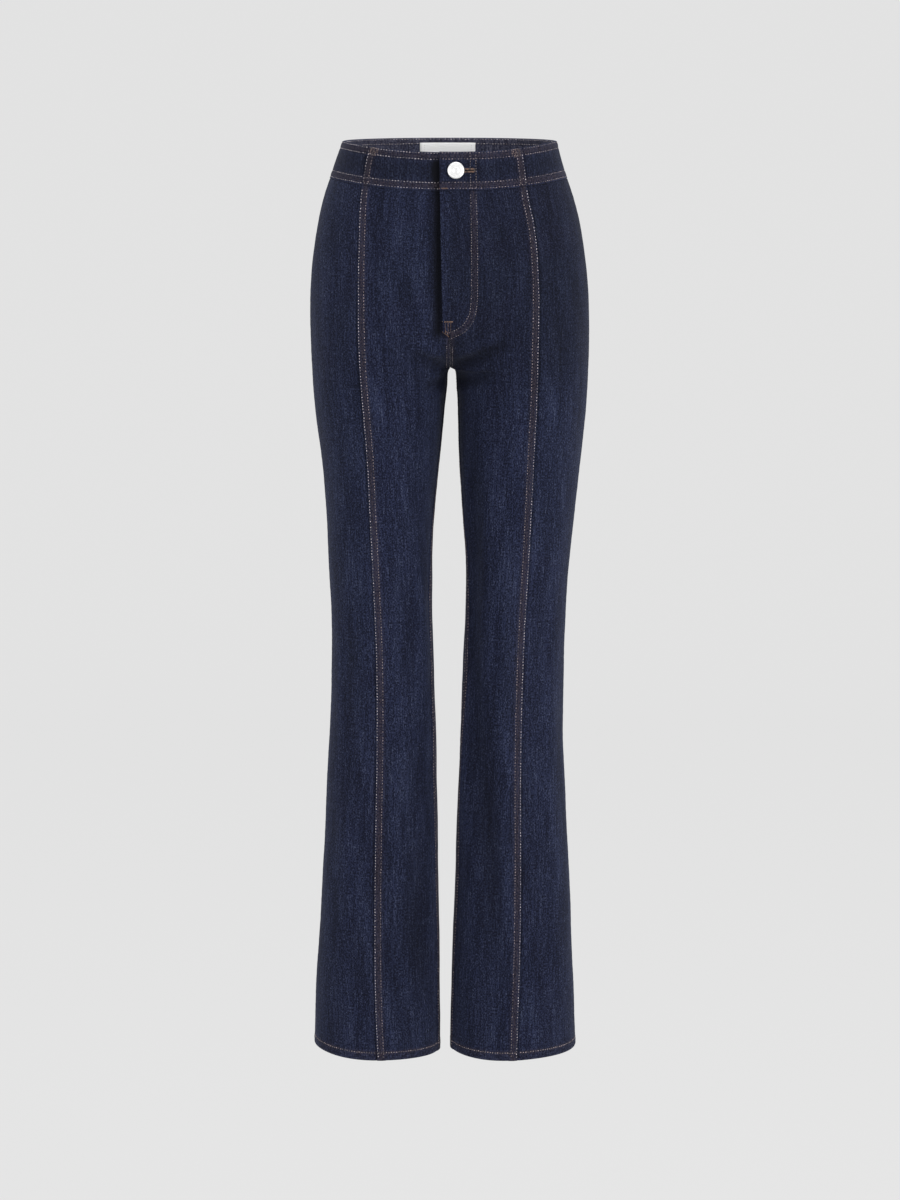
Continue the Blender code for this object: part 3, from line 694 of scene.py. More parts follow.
class Nodes:
    """Short names for the few node kinds that the cloth needs."""

    def __init__(self, tree):
        self.tree = tree

    def put(self, socket, value):
        if hasattr(value, "is_output"):
            self.tree.links.new(value, socket)
        elif value is not None:
            socket.default_value = value

    def math(self, kind, a, b=None, c=None, clamp=False):
        node = self.tree.nodes.new("ShaderNodeMath")
        node.operation, node.use_clamp = kind, clamp
        for socket, value in zip(node.inputs, (a, b, c)):
            self.put(socket, value)
        return node.outputs[0]

    def mix(self, share, a, b, kind="MIX"):
        node = self.tree.nodes.new("ShaderNodeMix")
        node.data_type, node.blend_type, node.clamp_factor = "RGBA", kind, True
        self.put(node.inputs[0], share)
        self.put(node.inputs[6], a if hasattr(a, "is_output") else (*a, 1))
        self.put(node.inputs[7], b if hasattr(b, "is_output") else (*b, 1))
        return node.outputs[2]

    def ramp(self, value, low, high, to_low=0.0, to_high=1.0, smooth=True):
        node = self.tree.nodes.new("ShaderNodeMapRange")
        node.interpolation_type = "SMOOTHSTEP" if smooth else "LINEAR"
        self.put(node.inputs["Value"], value)
        self.put(node.inputs["From Min"], low)
        self.put(node.inputs["From Max"], high)
        self.put(node.inputs["To Min"], to_low)
        self.put(node.inputs["To Max"], to_high)
        return node.outputs["Result"]

    def place(self, vector, scale, offset=(0, 0, 0), turn=0.0):
        node = self.tree.nodes.new("ShaderNodeMapping")
        self.put(node.inputs["Vector"], vector)
        node.inputs["Scale"].default_value = scale
        node.inputs["Location"].default_value = offset
        node.inputs["Rotation"].default_value = (0, 0, turn)
        return node.outputs[0]

    def noise(self, vector, scale, detail=2.0, rough=0.5, distort=0.0):
        node = self.tree.nodes.new("ShaderNodeTexNoise")
        self.put(node.inputs["Vector"], vector)
        node.inputs["Scale"].default_value = scale
        node.inputs["Detail"].default_value = detail
        node.inputs["Roughness"].default_value = rough
        node.inputs["Distortion"].default_value = distort
        return node.outputs["Fac"]

    def uv(self, name="cloth"):
        node = self.tree.nodes.new("ShaderNodeUVMap")
        node.uv_map = name
        return node.outputs[0]

    def tone(self):
        node = self.tree.nodes.new("ShaderNodeAttribute")
        node.attribute_name = "tone"
        split = self.tree.nodes.new("ShaderNodeSeparateColor")
        self.tree.links.new(node.outputs["Color"], split.inputs[0])
        return split.outputs[0], split.outputs[1], split.outputs[2]

    def xyz(self, vector):
        split = self.tree.nodes.new("ShaderNodeSeparateXYZ")
        self.tree.links.new(vector, split.inputs[0])
        return split.outputs[0], split.outputs[1]

    def height(self, value, distance, strength=1.0, normal=None):
        node = self.tree.nodes.new("ShaderNodeBump")
        node.inputs["Distance"].default_value = distance
        node.inputs["Strength"].default_value = strength
        self.put(node.inputs["Height"], value)
        if normal is not None:
            self.put(node.inputs["Normal"], normal)
        return node.outputs[0]


def denim(name, dark, mid, pale, tint, faded, sheen):
    """Indigo denim: a right-hand twill of dark warp over pale weft, warp threads of uneven
    colour that show as long thin streaks, and a tone that the cloth's own points carry: red is
    fading above 0.5 and painted shade below it (0.5 is neither), green is the brown cast between rows of stitching,
    blue is grime."""
    mat, tree, shader = new_material(name)
    k = Nodes(tree)
    uv = k.uv()
    fade_and_shade, brown, grime = k.tone()
    u, v = k.xyz(uv)
    # the weave: warp threads 0.42 mm apart, twill lines that climb to the right
    warp = k.math("SINE", k.math("MULTIPLY", u, 2 * math.pi / 0.00042))
    wobble = k.noise(k.place(uv, (260, 110, 1)), 1.0, 2.0)
    slant = k.math("ADD", k.math("MULTIPLY", u, 1.15), k.math("MULTIPLY", v, -0.8))
    slant = k.math("ADD", slant, k.math("MULTIPLY", wobble, 0.0011))
    twill = k.math("SINE", k.math("MULTIPLY", slant, 2 * math.pi / 0.00105))
    weft_shows = k.ramp(twill, 0.25, 0.95)
    # grain: specks of one to two millimetres, streaks along the warp, and broad clouds
    grit = k.noise(k.place(uv, (1250, 900, 1), (0.7, 2.9, 0)), 1.0, 1.0, 0.5)
    speck = k.ramp(k.noise(k.place(uv, (720, 470, 1)), 1.0, 1.0, 0.5), 0.27, 0.73, smooth=False)
    fine = k.noise(k.place(uv, (760, 120, 1)), 1.0, 2.0, 0.6)
    streak = k.noise(k.place(uv, (430, 20, 1), (3.1, 7.7, 0)), 1.0, 3.0, 0.6)
    slub = k.noise(k.place(uv, (760, 44, 1), (9.4, 2.2, 0)), 1.0, 1.0, 0.5)
    broad = k.noise(k.place(uv, (48, 9, 1), (1.3, 4.1, 0)), 1.0, 2.0, 0.5)
    mottle = k.noise(k.place(uv, (330, 230, 1), (5.5, 0.3, 0)), 1.0, 2.0, 0.6)
    value = 0.5
    for part, weight in ((speck, 1.2), (grit, 1.05), (fine, 1.45), (streak, 1.3), (mottle, 0.75), (broad, 0.95)):
        value = k.math("ADD", value, k.math("MULTIPLY", k.math("SUBTRACT", part, 0.5), weight))
    base = k.mix(k.ramp(value, 0.12, 0.95, smooth=False), dark, mid)
    bright = k.math("MULTIPLY", k.ramp(slub, 0.40, 0.66), k.ramp(value, 0.55, 1.25))
    base = k.mix(k.math("MULTIPLY", bright, 0.8), base, pale)
    base = k.mix(k.math("MULTIPLY", weft_shows, 0.07), base, pale)
    lighter = k.math("MULTIPLY", k.math("SUBTRACT", fade_and_shade, 0.5, clamp=True), faded)
    base = k.mix(k.math("MULTIPLY", lighter, k.ramp(speck, 0.3, 0.7, 0.55, 1.35)), base, pale)
    # tones below 0.5 darken the cloth: painted shade in the creases' troughs, beside the fly's edge and the seams, and
    # over the fronts
    darker = k.math("MULTIPLY", k.math("SUBTRACT", 0.5, fade_and_shade, clamp=True), 2.4)
    base = k.mix(darker, base, tuple(c * 0.3 for c in dark))
    base = k.mix(k.math("MULTIPLY", brown, k.ramp(speck, 0.2, 0.8, 0.1, 0.85)), base, tint)
    base = k.mix(k.math("MULTIPLY", grime, 0.85), base, tuple(c * 0.25 for c in dark))
    tree.links.new(base, shader.inputs["Base Color"])
    shader.inputs["Roughness"].default_value = 0.88
    shader.inputs["Specular IOR Level"].default_value = 0.13
    shader.inputs["Sheen Weight"].default_value = sheen
    shader.inputs["Sheen Roughness"].default_value = 0.45
    shader.inputs["Sheen Tint"].default_value = (0.55, 0.60, 0.82, 1)
    weave = k.math("ADD", k.math("MULTIPLY", warp, 0.3), k.math("MULTIPLY", twill, 0.7))
    normal = k.height(weave, 0.00007, 0.55)
    normal = k.height(k.math("ADD", speck, fine), 0.0004, 0.45, normal)
    tree.links.new(normal, shader.inputs["Normal"])
    return mat


def thread(name, colour, deep):
    """Spun thread with its twist and the small differences between stitches."""
    mat, tree, shader = new_material(name)
    k = Nodes(tree)
    place = tree.nodes.new("ShaderNodeTexCoord").outputs["Object"]
    patch = k.noise(k.place(place, (300, 300, 300)), 1.0, 2.0, 0.6)
    twist = k.noise(k.place(place, (2600, 2600, 2600)), 1.0, 1.0, 0.5)
    base = k.mix(k.ramp(patch, 0.40, 0.60), deep, colour)
    base = k.mix(k.math("MULTIPLY", k.ramp(twist, 0.35, 0.7), 0.35), base, tuple(c * 0.5 for c in deep))
    tree.links.new(base, shader.inputs["Base Color"])
    shader.inputs["Roughness"].default_value = 0.6
    shader.inputs["Specular IOR Level"].default_value = 0.35
    shader.inputs["Sheen Weight"].default_value = 0.2
    tree.links.new(k.height(twist, 0.0002, 0.6), shader.inputs["Normal"])
    return mat


def metal(name, colour, rough, grain):
    mat, tree, shader = new_material(name)
    k = Nodes(tree)
    place = tree.nodes.new("ShaderNodeTexCoord").outputs["Object"]
    specks = k.noise(k.place(place, (1400, 1400, 1400)), 1.0, 3.0, 0.6)
    cloud = k.noise(k.place(place, (190, 190, 190)), 1.0, 2.0, 0.5)
    base = k.mix(k.ramp(cloud, 0.3, 0.75), colour, tuple(c * 0.86 for c in colour))
    tree.links.new(base, shader.inputs["Base Color"])
    shader.inputs["Metallic"].default_value = 1.0
    tree.links.new(k.ramp(specks, 0.2, 0.8, rough * 0.8, rough * 1.25), shader.inputs["Roughness"])
    tree.links.new(k.height(specks, 0.0001, grain), shader.inputs["Normal"])
    return mat


def woven(name, colour, deep, pitch, rough, sheen):
    """A plain tape or label weave."""
    mat, tree, shader = new_material(name)
    k = Nodes(tree)
    uv = k.uv()
    u, v = k.xyz(uv)
    across = k.math("SINE", k.math("MULTIPLY", u, 2 * math.pi / pitch))
    up = k.math("SINE", k.math("MULTIPLY", v, 2 * math.pi / pitch))
    weave = k.math("MULTIPLY", across, up)
    cloud = k.noise(k.place(uv, (240, 240, 1)), 1.0, 2.0, 0.6)
    base = k.mix(k.ramp(weave, -0.6, 0.9), deep, colour)
    base = k.mix(k.math("MULTIPLY", k.ramp(cloud, 0.3, 0.8), 0.25), base, deep)
    tree.links.new(base, shader.inputs["Base Color"])
    shader.inputs["Roughness"].default_value = rough
    shader.inputs["Specular IOR Level"].default_value = 0.3
    shader.inputs["Sheen Weight"].default_value = sheen
    tree.links.new(k.height(weave, 0.00008, 0.6), shader.inputs["Normal"])
    return mat


DENIM_FACE = denim(
    "denim_face", (0.0012, 0.0020, 0.0090), (0.0138, 0.0185, 0.0470), (0.049, 0.059, 0.100),
    (0.030, 0.0225, 0.028), 0.9, 0.05,
)
DENIM_BACK = denim(
    "denim_reverse", (0.022, 0.024, 0.038), (0.062, 0.064, 0.086), (0.14, 0.145, 0.17),
    (0.040, 0.031, 0.035), 0.4, 0.06,
)
# the band's inside: the denim made much lighter to make up for the shade inside the waistband, which is painted light
DENIM_FACING_PAINTED_LIGHT = denim(
    "denim_facing_painted_light", (0.014, 0.015, 0.029), (0.063, 0.065, 0.108), (0.160, 0.160, 0.200),
    (0.045, 0.036, 0.042), 0.5, 0.06,
)
THREAD = thread("thread", (0.66, 0.585, 0.615), (0.090, 0.078, 0.088))
THREAD_WORN = thread("thread_worn", (0.390, 0.310, 0.315), (0.040, 0.033, 0.038))
THREAD_FLY = thread("thread_fly", (0.275, 0.225, 0.235), (0.024, 0.020, 0.024))
RUST = thread("thread_rust", (0.190, 0.128, 0.116), (0.060, 0.040, 0.040))
COPPER = thread("thread_copper", (0.22, 0.122, 0.078), (0.09, 0.048, 0.032))
COPPER_HOLE = thread("thread_copper_worn", (0.140, 0.074, 0.048), (0.026, 0.016, 0.014))
SILVER = metal("button_silver", (0.90, 0.90, 0.895), 0.40, 0.35)
BRASS = metal("zip_metal", (0.62, 0.60, 0.56), 0.30, 0.2)
LABEL_CLOTH = woven("label_white", (0.96, 0.96, 0.96), (0.92, 0.92, 0.92), 0.0006, 0.6, 0.1)
TAPE = woven("zip_tape_cloth", (0.030, 0.034, 0.058), (0.012, 0.014, 0.026), 0.0009, 0.8, 0.1)

# ---------------------------------------------------------------- the body

LEVELS = body_levels()
MIDDLE = ((24, 19, 52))
GRID, ARCS, SEAMS = {}, {}, {}
for side in SIDES:
    GRID[side], ARCS[side], SEAMS[side] = grid(side, LEVELS, STITCHED, STITCHED, MIDDLE)
NORMAL = whole_normals(GRID, LEVELS)
CREASE = lay_creases(GRID, LEVELS)
for side in SIDES:
    CREASE[side] = CREASE[side] + ripples(GRID[side])
    # no creases at the waist seam, and little at the hem
    calm = ease((-BAND_HEIGHT - LEVELS) / 34) * (0.35 + 0.65 * ease((LEVELS - HEM_LEVEL) / 45))
    CREASE[side] *= calm[:, None]
    # both sides meet at the middle plane above the crotch
for column in (0, -1):
    above = LEVELS >= CROTCH - 1e-6
    mean = (CREASE["right"][above, column] + CREASE["left"][above, column]) / 2
    for side in SIDES:
        seam_from = np.abs(ARCS[side] - ARCS[side][:, [column]])
        pull = 1 - ease(seam_from / 30)
        CREASE[side][above] += (mean - CREASE[side][above, column])[:, None] * pull[above]
for side in SIDES:
    below = LEVELS < CROTCH - 1e-6
    mean = (CREASE[side][below, 0] + CREASE[side][below, -1]) / 2
    for column in (0, -1):
        seam_from = np.abs(ARCS[side] - ARCS[side][:, [column]])
        pull = 1 - ease(seam_from / 30)
        CREASE[side][below] += (mean - CREASE[side][below, column])[:, None] * pull[below]


def fly_fade(level):
    return 1 - ease((FLY_END - level) / 16)


def near_centre(arc, full, gone):
    return 1 - ease((arc - full) / (gone - full))


def gape(level):
    """How far the fly's edge stands open between its tacks."""
    return 1.3 * ease((-52 - level) / 40) * ease((level - FLY_END + 4) / 40)


def reach_at(level):
    """How far the fly's edge lies past the centre: a little less towards its foot."""
    return float(np.interp(level, [-204, -181, -124, -59, -43], [8.4, 9.2, 10.2, 11.2, 11.6]))


def cast(tint, fade_and_shade=0.0):
    """Tones of a surface from its brown cast, and from its fading and painted shade."""
    tint = np.clip(tint, 0, 1)
    return np.stack([np.clip(0.5 + fade_and_shade + 0 * tint, 0, 1), tint, 0 * tint], -1)


# the curved rows that hold the fly's facing: distance from the middle plane, height
FLY_ROWS = [
    [(23.3, -58), (23.4, -68), (24.5, -124), (24.5, -170), (24.0, -182), (23.4, -192), (21.4, -199), (18.4, -204.5), (14.9, -208.8),
     (10.9, -212.2), (6.9, -214.8), (3.4, -216.6), (0.0, -217.6), (-3.4, -218.4), (-5.4, -219.0)],
    [(29.6, -58), (29.8, -68), (31.3, -124), (31.4, -170), (30.9, -186), (29.8, -194.5), (28.3, -200.5), (26.2, -205.6), (23.2, -210.4),
     (20.4, -214.2), (16.3, -217.2), (11.7, -219.8), (7.5, -221.6), (2.9, -223.6), (-0.6, -225.4)],
]


def smooth_line(way, step=1.5, rounds=3):
    way = np.array(way, float)
    t = np.concatenate([[0], np.cumsum(np.linalg.norm(np.diff(way, axis=0), axis=1))])
    n = max(int(t[-1] / step), 4)
    tt = np.linspace(0, t[-1], n + 1)
    line = np.stack([np.interp(tt, t, way[:, c]) for c in range(way.shape[1])], 1)
    for _ in range(rounds * 4):
        line[1:-1] = (line[:-2] + 2 * line[1:-1] + line[2:]) / 4
    return line


def level_at(side, x, z, behind=False):
    """The level whose line passes this height at this distance from the middle plane."""
    level = z
    for _ in range(8):
        sec = section(side, min(level, 5.9), 60)
        level += z - at(sec, arc_of(sec, [abs(x)], behind))[0][2]
    return min(level, 5.9)


FLY_LINES = [smooth_line(way, 1.5, 1) for way in FLY_ROWS]


def line_distance(points, line):
    best = np.full(points.shape[:-1], 1e9)
    for a, b in zip(line[:-1], line[1:]):
        ab = b - a
        t = np.clip(((points - a) @ ab) / (ab @ ab), 0, 1)
        best = np.minimum(best, np.linalg.norm(points - a - t[..., None] * ab, axis=-1))
    return best


surface = {}  # outer points of each panel, for what is laid on them
face_area = {}
for side, sign in SIDES.items():
    g, nv, arcs = GRID[side], NORMAL[side], ARCS[side]
    lv = np.repeat(LEVELS[:, None], g.shape[1], 1)
    c0, c1, c2, c3 = SEAMS[side]
    from_centre = arcs - arcs[:, [c0]]
    from_end = arcs[:, [c3]] - arcs
    above = ease((LEVELS - CROTCH + 2) / 14)[:, None]
    below = 1 - ease((LEVELS - CROTCH + 26) / 22)[:, None]
    # the front's rise over the fly, or its lying back under it
    level_fade = fly_fade(LEVELS)[:, None]
    fly = sign * FLY_RISE * near_centre(from_centre, 12, 46) * level_fade
    fly = fly * (arcs < arcs[:, [c1]] + 1)
    if side == "left":
        fly = fly + gape(LEVELS)[:, None] * bump(from_centre, -6, 15) * level_fade
    else:
        fly = fly - 1.5 * bump(from_centre, 14, 10) * level_fade
    low = CREASE[side] + fly  # the wall's own place, without seams
    height_above_hem = lv - HEM_LEVEL
    run = -lv
    for name, a, b in (("front_centre", c0, c1), ("front_side", c1, c2), ("back", c2, c3)):
        sl = slice(a, b + 1)
        P, N, L = g[:, sl].copy(), nv[:, sl], lv[:, sl]
        s, r = arcs[:, sl], run[:, sl]
        t_in = s - s[:, [0]]
        t_out = s[:, [-1]] - s
        relief = np.zeros_like(s)
        tint = np.zeros_like(s)
        allowance = np.zeros_like(s)  # turned-in cloth on the inside
        fade_and_shade = np.zeros_like(s)
        if name == "front_centre":
            relief += lapped(t_out, r, 0.3 + sign)
            tint += bump(t_out, 5.0, 3.8)
            fade_and_shade += 0.17 * bump(t_out, 0.35, 0.9) + 0.05 * bump(t_out, ROWS_AT[0], 1.3) + 0.05 * bump(t_out, ROWS_AT[1], 1.3)
            allowance += 0.8 * (1 - ease((t_out - 10.4) / 1.2))
            relief += lapped(t_in, r, 1.9 + sign) * below
            tint += bump(t_in, 5.0, 3.8) * below
            allowance += 0.8 * (1 - ease((t_in - 10.4) / 1.2))
            # the seam below the fly, with a row on each side
            seam = above * (1 - ease((LEVELS - FLY_END + 2) / 8))[:, None]
            relief += seam * (0.45 * (1 - ease((t_in - 4.5) / 3)) - 0.4 * bump(t_in, 0, 0.9) - 0.28 * bump(t_in, 3.3, 0.8))
            tint += 0.7 * seam * bump(t_in, 1.5, 3.2)
            if side == "left":
                # the facing's rows, and its edge pressed through a little further out
                flat = np.stack([P[..., 0], P[..., 2]], -1)
                zone = (L > -236) & (np.abs(P[..., 0]) < 60)
                near_rows = np.full(s.shape, 99.0)
                between = np.full(s.shape, 99.0)
                d0, d1 = (line_distance(flat[zone], line) for line in FLY_LINES)
                near_rows[zone] = np.minimum(d0, d1)
                between[zone] = np.maximum(d0, d1)
                relief += -0.38 * bump(near_rows, 0, 1.0) + 0.16 * bump(between, 3.5, 1.8) * (1 + pucker(None, r, 0.9))
                tint += 0.9 * bump(between, 3.4, 2.6)
                fade_and_shade += 0.02 * bump(P[..., 0], 10, 6) * level_fade
        elif name == "front_side":
            relief += lapped_side(t_in, r, 0.3 + sign)
            relief += plain_side(t_out, r, 2.0 + sign)
            allowance += 0.5 * (1 - ease((t_out - 10.4) / 1.2))
            # painted shade in the ditch beside the lapped seam's edge
            fade_and_shade += -0.16 * bump(t_in, 0, 2.2)
        else:
            relief += plain_side(t_in, r, 2.0 + sign)
            allowance += 0.5 * (1 - ease((t_in - 10.4) / 1.2))
            relief += lapped_side(t_out, r, 1.9 + sign) * below
            # the centre back seam: the wearer's left lies over the right, with two rows
            if side == "left":
                relief += lapped(t_out, r, 0.8) * above
                tint += bump(t_out, 5.0, 3.8) * above
                allowance += 0.8 * (1 - ease((t_out - 10.4) / 1.2)) * above
            else:
                relief += lapped_side(t_out, r, 0.8) * above
        if name == "front_centre" and side == "right":
            # painted shadow: the cloth beside the fly's edge is darkened where the overlap shades it
            fade_and_shade += -0.36 * bump(from_centre[:, sl], 13.5, 7.5) * level_fade
        # the hem, turned up twice and stitched 10 mm above its edge
        up = L - HEM_LEVEL
        hem = 1 - ease((up - 10.6) / 0.8)
        roping = np.sin((s * 0.86 + up * 1.1) * 2 * math.pi / 8.6 + 1.2 * np.sin(s * 0.11))
        relief += 0.35 * (1 - ease((up - 10.2) / 1.6))
        relief += -0.38 * bump(up, 10, 0.8) + 0.16 * bump(up, 5.2, 3.0) * roping
        tint += 0.85 * bump(up, 10.2, 1.9) * (0.75 + 0.25 * np.sin(s * 0.19 + 0.7)) + 0.22 * (1 - ease((up - 11) / 2))
        fade_and_shade += 0.10 * bump(up, 10.4, 2.0) + 0.50 * bump(up, 0.5, 1.8) * (0.40 + 0.30 * roping + 0.30 * np.sin(s * 1.35 + 2.0 * np.sin(s * 0.37))) + 0.13 * hem * roping
        # painted shade: darker over the tops of the fronts, most on the wearer's left where the key light falls
        # strongest, round the crotch, and in broad patches on the legs where folds and the other leg shade them. The
        # lower legs are also a little darker.
        if name != "back":
            x, z = sign * P[..., 0], P[..., 2]
            tops = ease((L + 330) / 120)
            fade_and_shade += (-0.175 if side == "left" else -0.045) * tops
            fade_and_shade += -0.10 * np.exp(-((x / 44) ** 2) - ((z + 262) / 26) ** 2)
            fade_and_shade += -0.03 * (1 - ease((L + 760) / 120))
            if side == "right":
                fade_and_shade += -0.07 * np.exp(-(((x - 44) / 24) ** 2) - ((z + 905) / 110) ** 2)
            else:
                fade_and_shade += -0.06 * np.exp(-(((x - 52) / 22) ** 2) - ((z + 800) / 130) ** 2)
                fade_and_shade += -0.05 * np.exp(-(((x - 30) / 20) ** 2) - ((z + 420) / 110) ** 2)
        # lighter on the crests, as worn denim fades there, and darker in the troughs, which is painted shade
        fade_and_shade += np.clip(CREASE[side][:, sl] * 0.030, -0.10, 0.12)
        # the wall
        base_thick = np.full(s.shape, DENIM)
        if name == "front_centre" and side == "left":
            base_thick += (FLY - DENIM) * near_centre(t_in, 20, 34) * level_fade
        thick_hem = HEM * hem
        lower = low[:, sl]
        outside = lower + relief
        inside = lower - np.maximum(base_thick + allowance * (1 - hem), thick_hem)
        # rounded folds at the hem and the raw top edge, and at the seams' edges
        for distance, radius in ((up, 1.45), (-BAND_HEIGHT - SEAM_GAP / 2 - L, 0.5)):
            outside = outside - rounding(distance, radius)
            inside = inside + rounding(distance, radius) * 0.92
        edge_radius = 0.85 if name == "front_centre" else 0.45
        outside = outside - rounding(t_out if name != "back" else t_in, edge_radius) * 0.9
        if name == "front_centre":
            outside = outside - rounding(t_in, 0.8) * 0.9 * below
        inside = inside + rounding(t_out, 0.4) * 0.5 + rounding(t_in, 0.4) * 0.5
        inside = np.minimum(inside, outside - 0.35)
        outer = P + N * outside[..., None]
        inner = P + N * inside[..., None]
        # a fine gap at the seams
        for layer in (outer, inner):
            for end, nxt in ((0, 1), (-1, -2)):
                middle = (a == c0 and end == 0) or (b == c3 and end == -1)
                way = layer[:, nxt] - layer[:, end]
                way /= np.maximum(np.linalg.norm(way, axis=1, keepdims=True), 1e-9)
                if middle:
                    up_rows = LEVELS >= CROTCH - 1e-6
                    layer[up_rows, end, 0] = sign * 0.015
                    layer[~up_rows, end] += 0.02 * way[~up_rows]
                else:
                    layer[:, end] += 0.02 * way
        if a == c0 or b == c3:  # near the crotch nothing crosses the middle plane
            for layer in (outer, inner):
                layer[..., 0] = sign * np.maximum(sign * layer[..., 0], 0.015)
        # the warp runs along the long seams in front and down the middle of each back
        grain = arcs[:, [c1]] if name != "back" else (arcs[:, [c2]] + arcs[:, [c3]]) / 2
        u_cloth = sign * (s - grain) * MM
        uv = np.stack([u_cloth, L * MM], -1)
        tone = cast(tint, fade_and_shade)
        tone_in = cast(0.4 * bump(t_out, 10, 1.5) if name != "front_side" else 0 * s, 0 * s)
        skip = None
        if name == "front_centre" and side == "left":
            # the overlap: the right side's own columns, moved out, narrowing to nothing at its end
            full = [1.0, 0.97, 0.9, 0.8, 0.66, 0.5, 0.34, 0.2, 0.1]
            lap_p, lap_n, lap_a = [], [], []
            rows_in = np.nonzero(LEVELS > FLY_END - 5)[0]
            for i, level in enumerate(LEVELS):
                sec = section("right", level, 90)
                reach = reach_at(level) * (1 - 0.97 * float(ease((FLY_END + 0.5 - level) / 5.5)))
                arc = arc_of(sec, np.array(full) * reach) if i in rows_in else np.array(full) * 0.3
                lap_p.append(at(sec, arc))
                j = np.interp(arc, ARCS["right"][i], np.arange(ARCS["right"].shape[1]))
                lo = np.floor(j).astype(int)
                f = (j - lo)[:, None]
                nn = NORMAL["right"][i][lo] * (1 - f) + NORMAL["right"][i][lo + 1] * f
                lap_n.append(nn)
                lap_a.append(arc)
            lap_p, lap_n, lap_a = np.array(lap_p), np.array(lap_n), np.array(lap_a)
            rise = FLY_RISE * level_fade + gape(LEVELS)[:, None] * bump(-lap_a, -6, 15) * level_fade
            rise = rise + CREASE["left"][:, [0]]
            edge = lap_a[:, [0]] - lap_a
            fold = 0.12 * bump(edge, 1.6, 1.6) * pucker(None, -LEVELS, 0.4)[:, None]
            lap_out = rise + fold - rounding(edge, 1.1) * 0.9
            lap_in = rise - FLY + rounding(edge, 1.0) * 0.9
            lap_outer, lap_inner = lap_p + lap_n * lap_out[..., None], lap_p + lap_n * lap_in[..., None]
            outer[:, 0] = P[:, 0] + N[:, 0] * outside[:, [0]]
            inner[:, 0] = P[:, 0] + N[:, 0] * inside[:, [0]]
            low_rows = LEVELS <= FLY_END - 5
            outer[low_rows, 0, 0] = np.maximum(outer[low_rows, 0, 0], 0.015)
            inner[low_rows, 0, 0] = np.maximum(inner[low_rows, 0, 0], 0.015)
            outer, inner = np.concatenate([lap_outer, outer], 1), np.concatenate([lap_inner, inner], 1)
            lap_u = -lap_a - (arcs[:, [c1]] - arcs[:, [c0]])
            lap_uv = np.stack([lap_u * MM, np.repeat(LEVELS[:, None], len(full), 1) * MM], -1)
            uv = np.concatenate([lap_uv, uv], 1)
            lap_tone = cast(0 * lap_a, 0.07 * bump(edge, 0.6, 1.6) - 0.085)
            tone = np.concatenate([lap_tone, tone], 1)
            tone_in = np.concatenate([lap_tone * [1, 0, 0], tone_in], 1)
            skip = np.zeros((outer.shape[0] - 1, outer.shape[1] - 1), bool)
            skip[LEVELS[1:] < FLY_END - 5, : len(full)] = True
        piece = f"{name}_{side}"
        shell(piece, outer, inner, uv, tone, tone_in, [DENIM_FACE, DENIM_BACK], side == "left", skip)
        surface[piece] = outer
        mid = (outer[:-1, :-1] - outer[1:, 1:]), (outer[:-1, 1:] - outer[1:, :-1])
        area = np.linalg.norm(np.cross(*mid), axis=2) / 2
        face_area[piece] = float((area if skip is None else area[~skip]).sum()) * 1e-6

# ---------------------------------------------------------------- the waistband

BAND_ROWS = (1.5, 8.2, 34.0, 40.7)  # rows of stitching, down from its top edge
EYE = (3.6, 10.2, 2.7)  # the buttonhole's eye: from, to, half height
SLIT = (26.0, 0.8)
band_depths = [
    0, 0.1, 0.35, 0.7, 1.1, 1.5, 2.1, 3.1, 4.85, 6.6, 7.5, 8.2, 8.9, 10, 12, 14.5, 16.8, 18.3, 19.25, 20.2, 21.0, 21.8,
    22.75, 23.7, 25.5, 27.5, 29.5, 31.5, 33.2, 34.0, 34.8, 36, 37.35, 39, 40.1, 40.7, 41.3, 41.9, 42.45, 42.8, 43.0,
]
BAND_LEVELS = -np.array(band_depths)
BAND_MIDDLE = ((22, 12, 44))
NEAR_LEFT = [0, 1.8, 3.6, 5.8, 8.0, 10.2, 12.2, 14.5, 17, 20, 23, 26, 28, 30]
NEAR_RIGHT = [0, 1.2, 3, 6, 9.5, 10.5, 11.5, 14, 17, 20, 24, 28, 30]
BGRID, BARCS, BSEAMS = {}, {}, {}
for side, near in (("right", NEAR_RIGHT), ("left", NEAR_LEFT)):
    BGRID[side], BARCS[side], BSEAMS[side] = grid(side, BAND_LEVELS, near, [0, 4, 8, 12, 16], BAND_MIDDLE)


def likewise(side, level, arcs, higher):
    """The points that stand at the same share of the way round on a higher or lower level."""
    here, there = section(side, level, 90), section(side, level + higher, 90)
    return at(there, np.minimum(np.asarray(arcs) / here[1][-1], 1) * there[1][-1])


def band_normals():
    out = {}
    for side, other in (("right", "left"), ("left", "right")):
        g = BGRID[side]
        pad = np.zeros((g.shape[0], g.shape[1] + 2, 3))
        pad[:, 1:-1] = g
        pad[:, 0] = BGRID[other][:, 1] * [1, 1, 1]
        pad[:, -1] = BGRID[other][:, -2]
        across = pad[:, 2:] - pad[:, :-2]
        # the same wide step at every row keeps the direction steady over the close rows
        top = np.array([likewise(side, lv, cols, 6) for lv, cols in zip(BAND_LEVELS, BARCS[side])])
        low = np.array([likewise(side, lv, cols, -6) for lv, cols in zip(BAND_LEVELS, BARCS[side])])
        n = np.cross(across, low - top) * -SIDES[side]
        out[side] = n / np.linalg.norm(n, axis=2, keepdims=True)
    return out


BNORMAL = band_normals()
band_face = 0.6
depth = -BAND_LEVELS[:, None]


